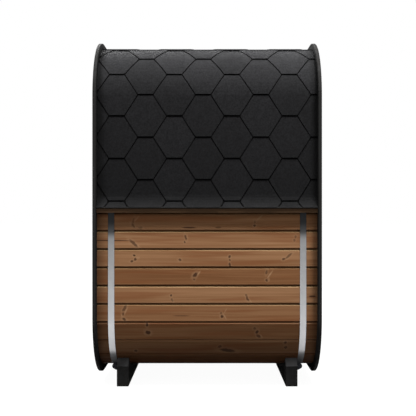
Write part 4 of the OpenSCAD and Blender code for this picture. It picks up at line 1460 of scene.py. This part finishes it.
# %% Door screws and caps
hinge_low, hinge_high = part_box("door_hinges")
handle_low, handle_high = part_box("door_handle")
half_hinge = 0.035          # half a hinge's height, with the head of its pin
hinge_heights = (hinge_low.z + half_hinge, hinge_high.z - half_hinge)
leaf_proud = 0.0033         # how far a hinge leaf's face stands proud of the frame
leaf_face = frame_high.x + leaf_proud
leaf_screw, clamp_screw = (-0.3443, 0.0045), (-0.294, 0.0055)   # place along y, and radius
screw_spacing = 0.019       # from the middle of a hinge to its screws
member_middle = 0.0165      # from the frame's outer edge to the middle of a member's face
upright_screws = (0.3, 0.62, 0.94, 1.26, 1.55, 1.84)
level_screws = (-0.22, 0.0, 0.22)
frame_screw_radius = 0.004
handle_y = (handle_low.y + handle_high.y) / 2
handle_z = (handle_low.z + handle_high.z) / 2
pin_offset = 0.15           # from the handle's middle to each of its pins
pin_heights = (handle_z - pin_offset, handle_z + pin_offset)

mesh = bmesh.new()
for z in hinge_heights:
    for offset in (-screw_spacing, screw_spacing):
        for y, radius in (leaf_screw, clamp_screw):
            screw(mesh, (leaf_face, y, z + offset), (1, 0, 0), radius)
frame_screws = [(side * (frame_high.y - member_middle), z)
                for z in upright_screws for side in (-1, 1)]
frame_screws += [(y, z) for y in level_screws
                 for z in (frame_low.z + member_middle, frame_high.z - member_middle)]
for y, z in frame_screws:
    screw(mesh, (frame_high.x, y, z), (1, 0, 0), frame_screw_radius)
cap = [(0.006, -0.003), (0.006, 0.0006), (0.0052, 0.0014), (0.003, 0.0019), (0.001, 0.002)]
for z in pin_heights:
    turned(mesh, (handle_high.x, handle_y, z), (1, 0, 0), cap)
    turned(mesh, (handle_low.x, handle_y, z), (-1, 0, 0), cap)
finish_piece(mesh, "door_screws", [hinge_look])

# %% [markdown]
# Rubber keeps steel and glass apart: a soft washer sits wherever a pin meets the glass, and
# a seal with a rounded lip runs round the rebate behind it.

# %% Washers and seal
glass_low, glass_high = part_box("door_glass")
seal_depth = 0.003          # between the rebate and the glass
rebate = glass_low.x - seal_depth
washer = [(0.0115, 0.0), (0.0115, 0.001), (0.0105, 0.0016), (0.007, 0.0016)]
lip = [(0.0, rebate + 0.0001), (0.0, rebate + 0.0029), (0.006, rebate + 0.003),
       (0.0085, rebate + 0.002), (0.006, rebate + 0.0004)]

mesh = bmesh.new()
for z in pin_heights:
    turned(mesh, (glass_high.x, handle_y, z), (1, 0, 0), washer)
    turned(mesh, (glass_low.x, handle_y, z), (-1, 0, 0), washer)
mitred_ring(mesh, glass_low, glass_high, lip)
finish_piece(mesh, "door_seal", [seal_look])
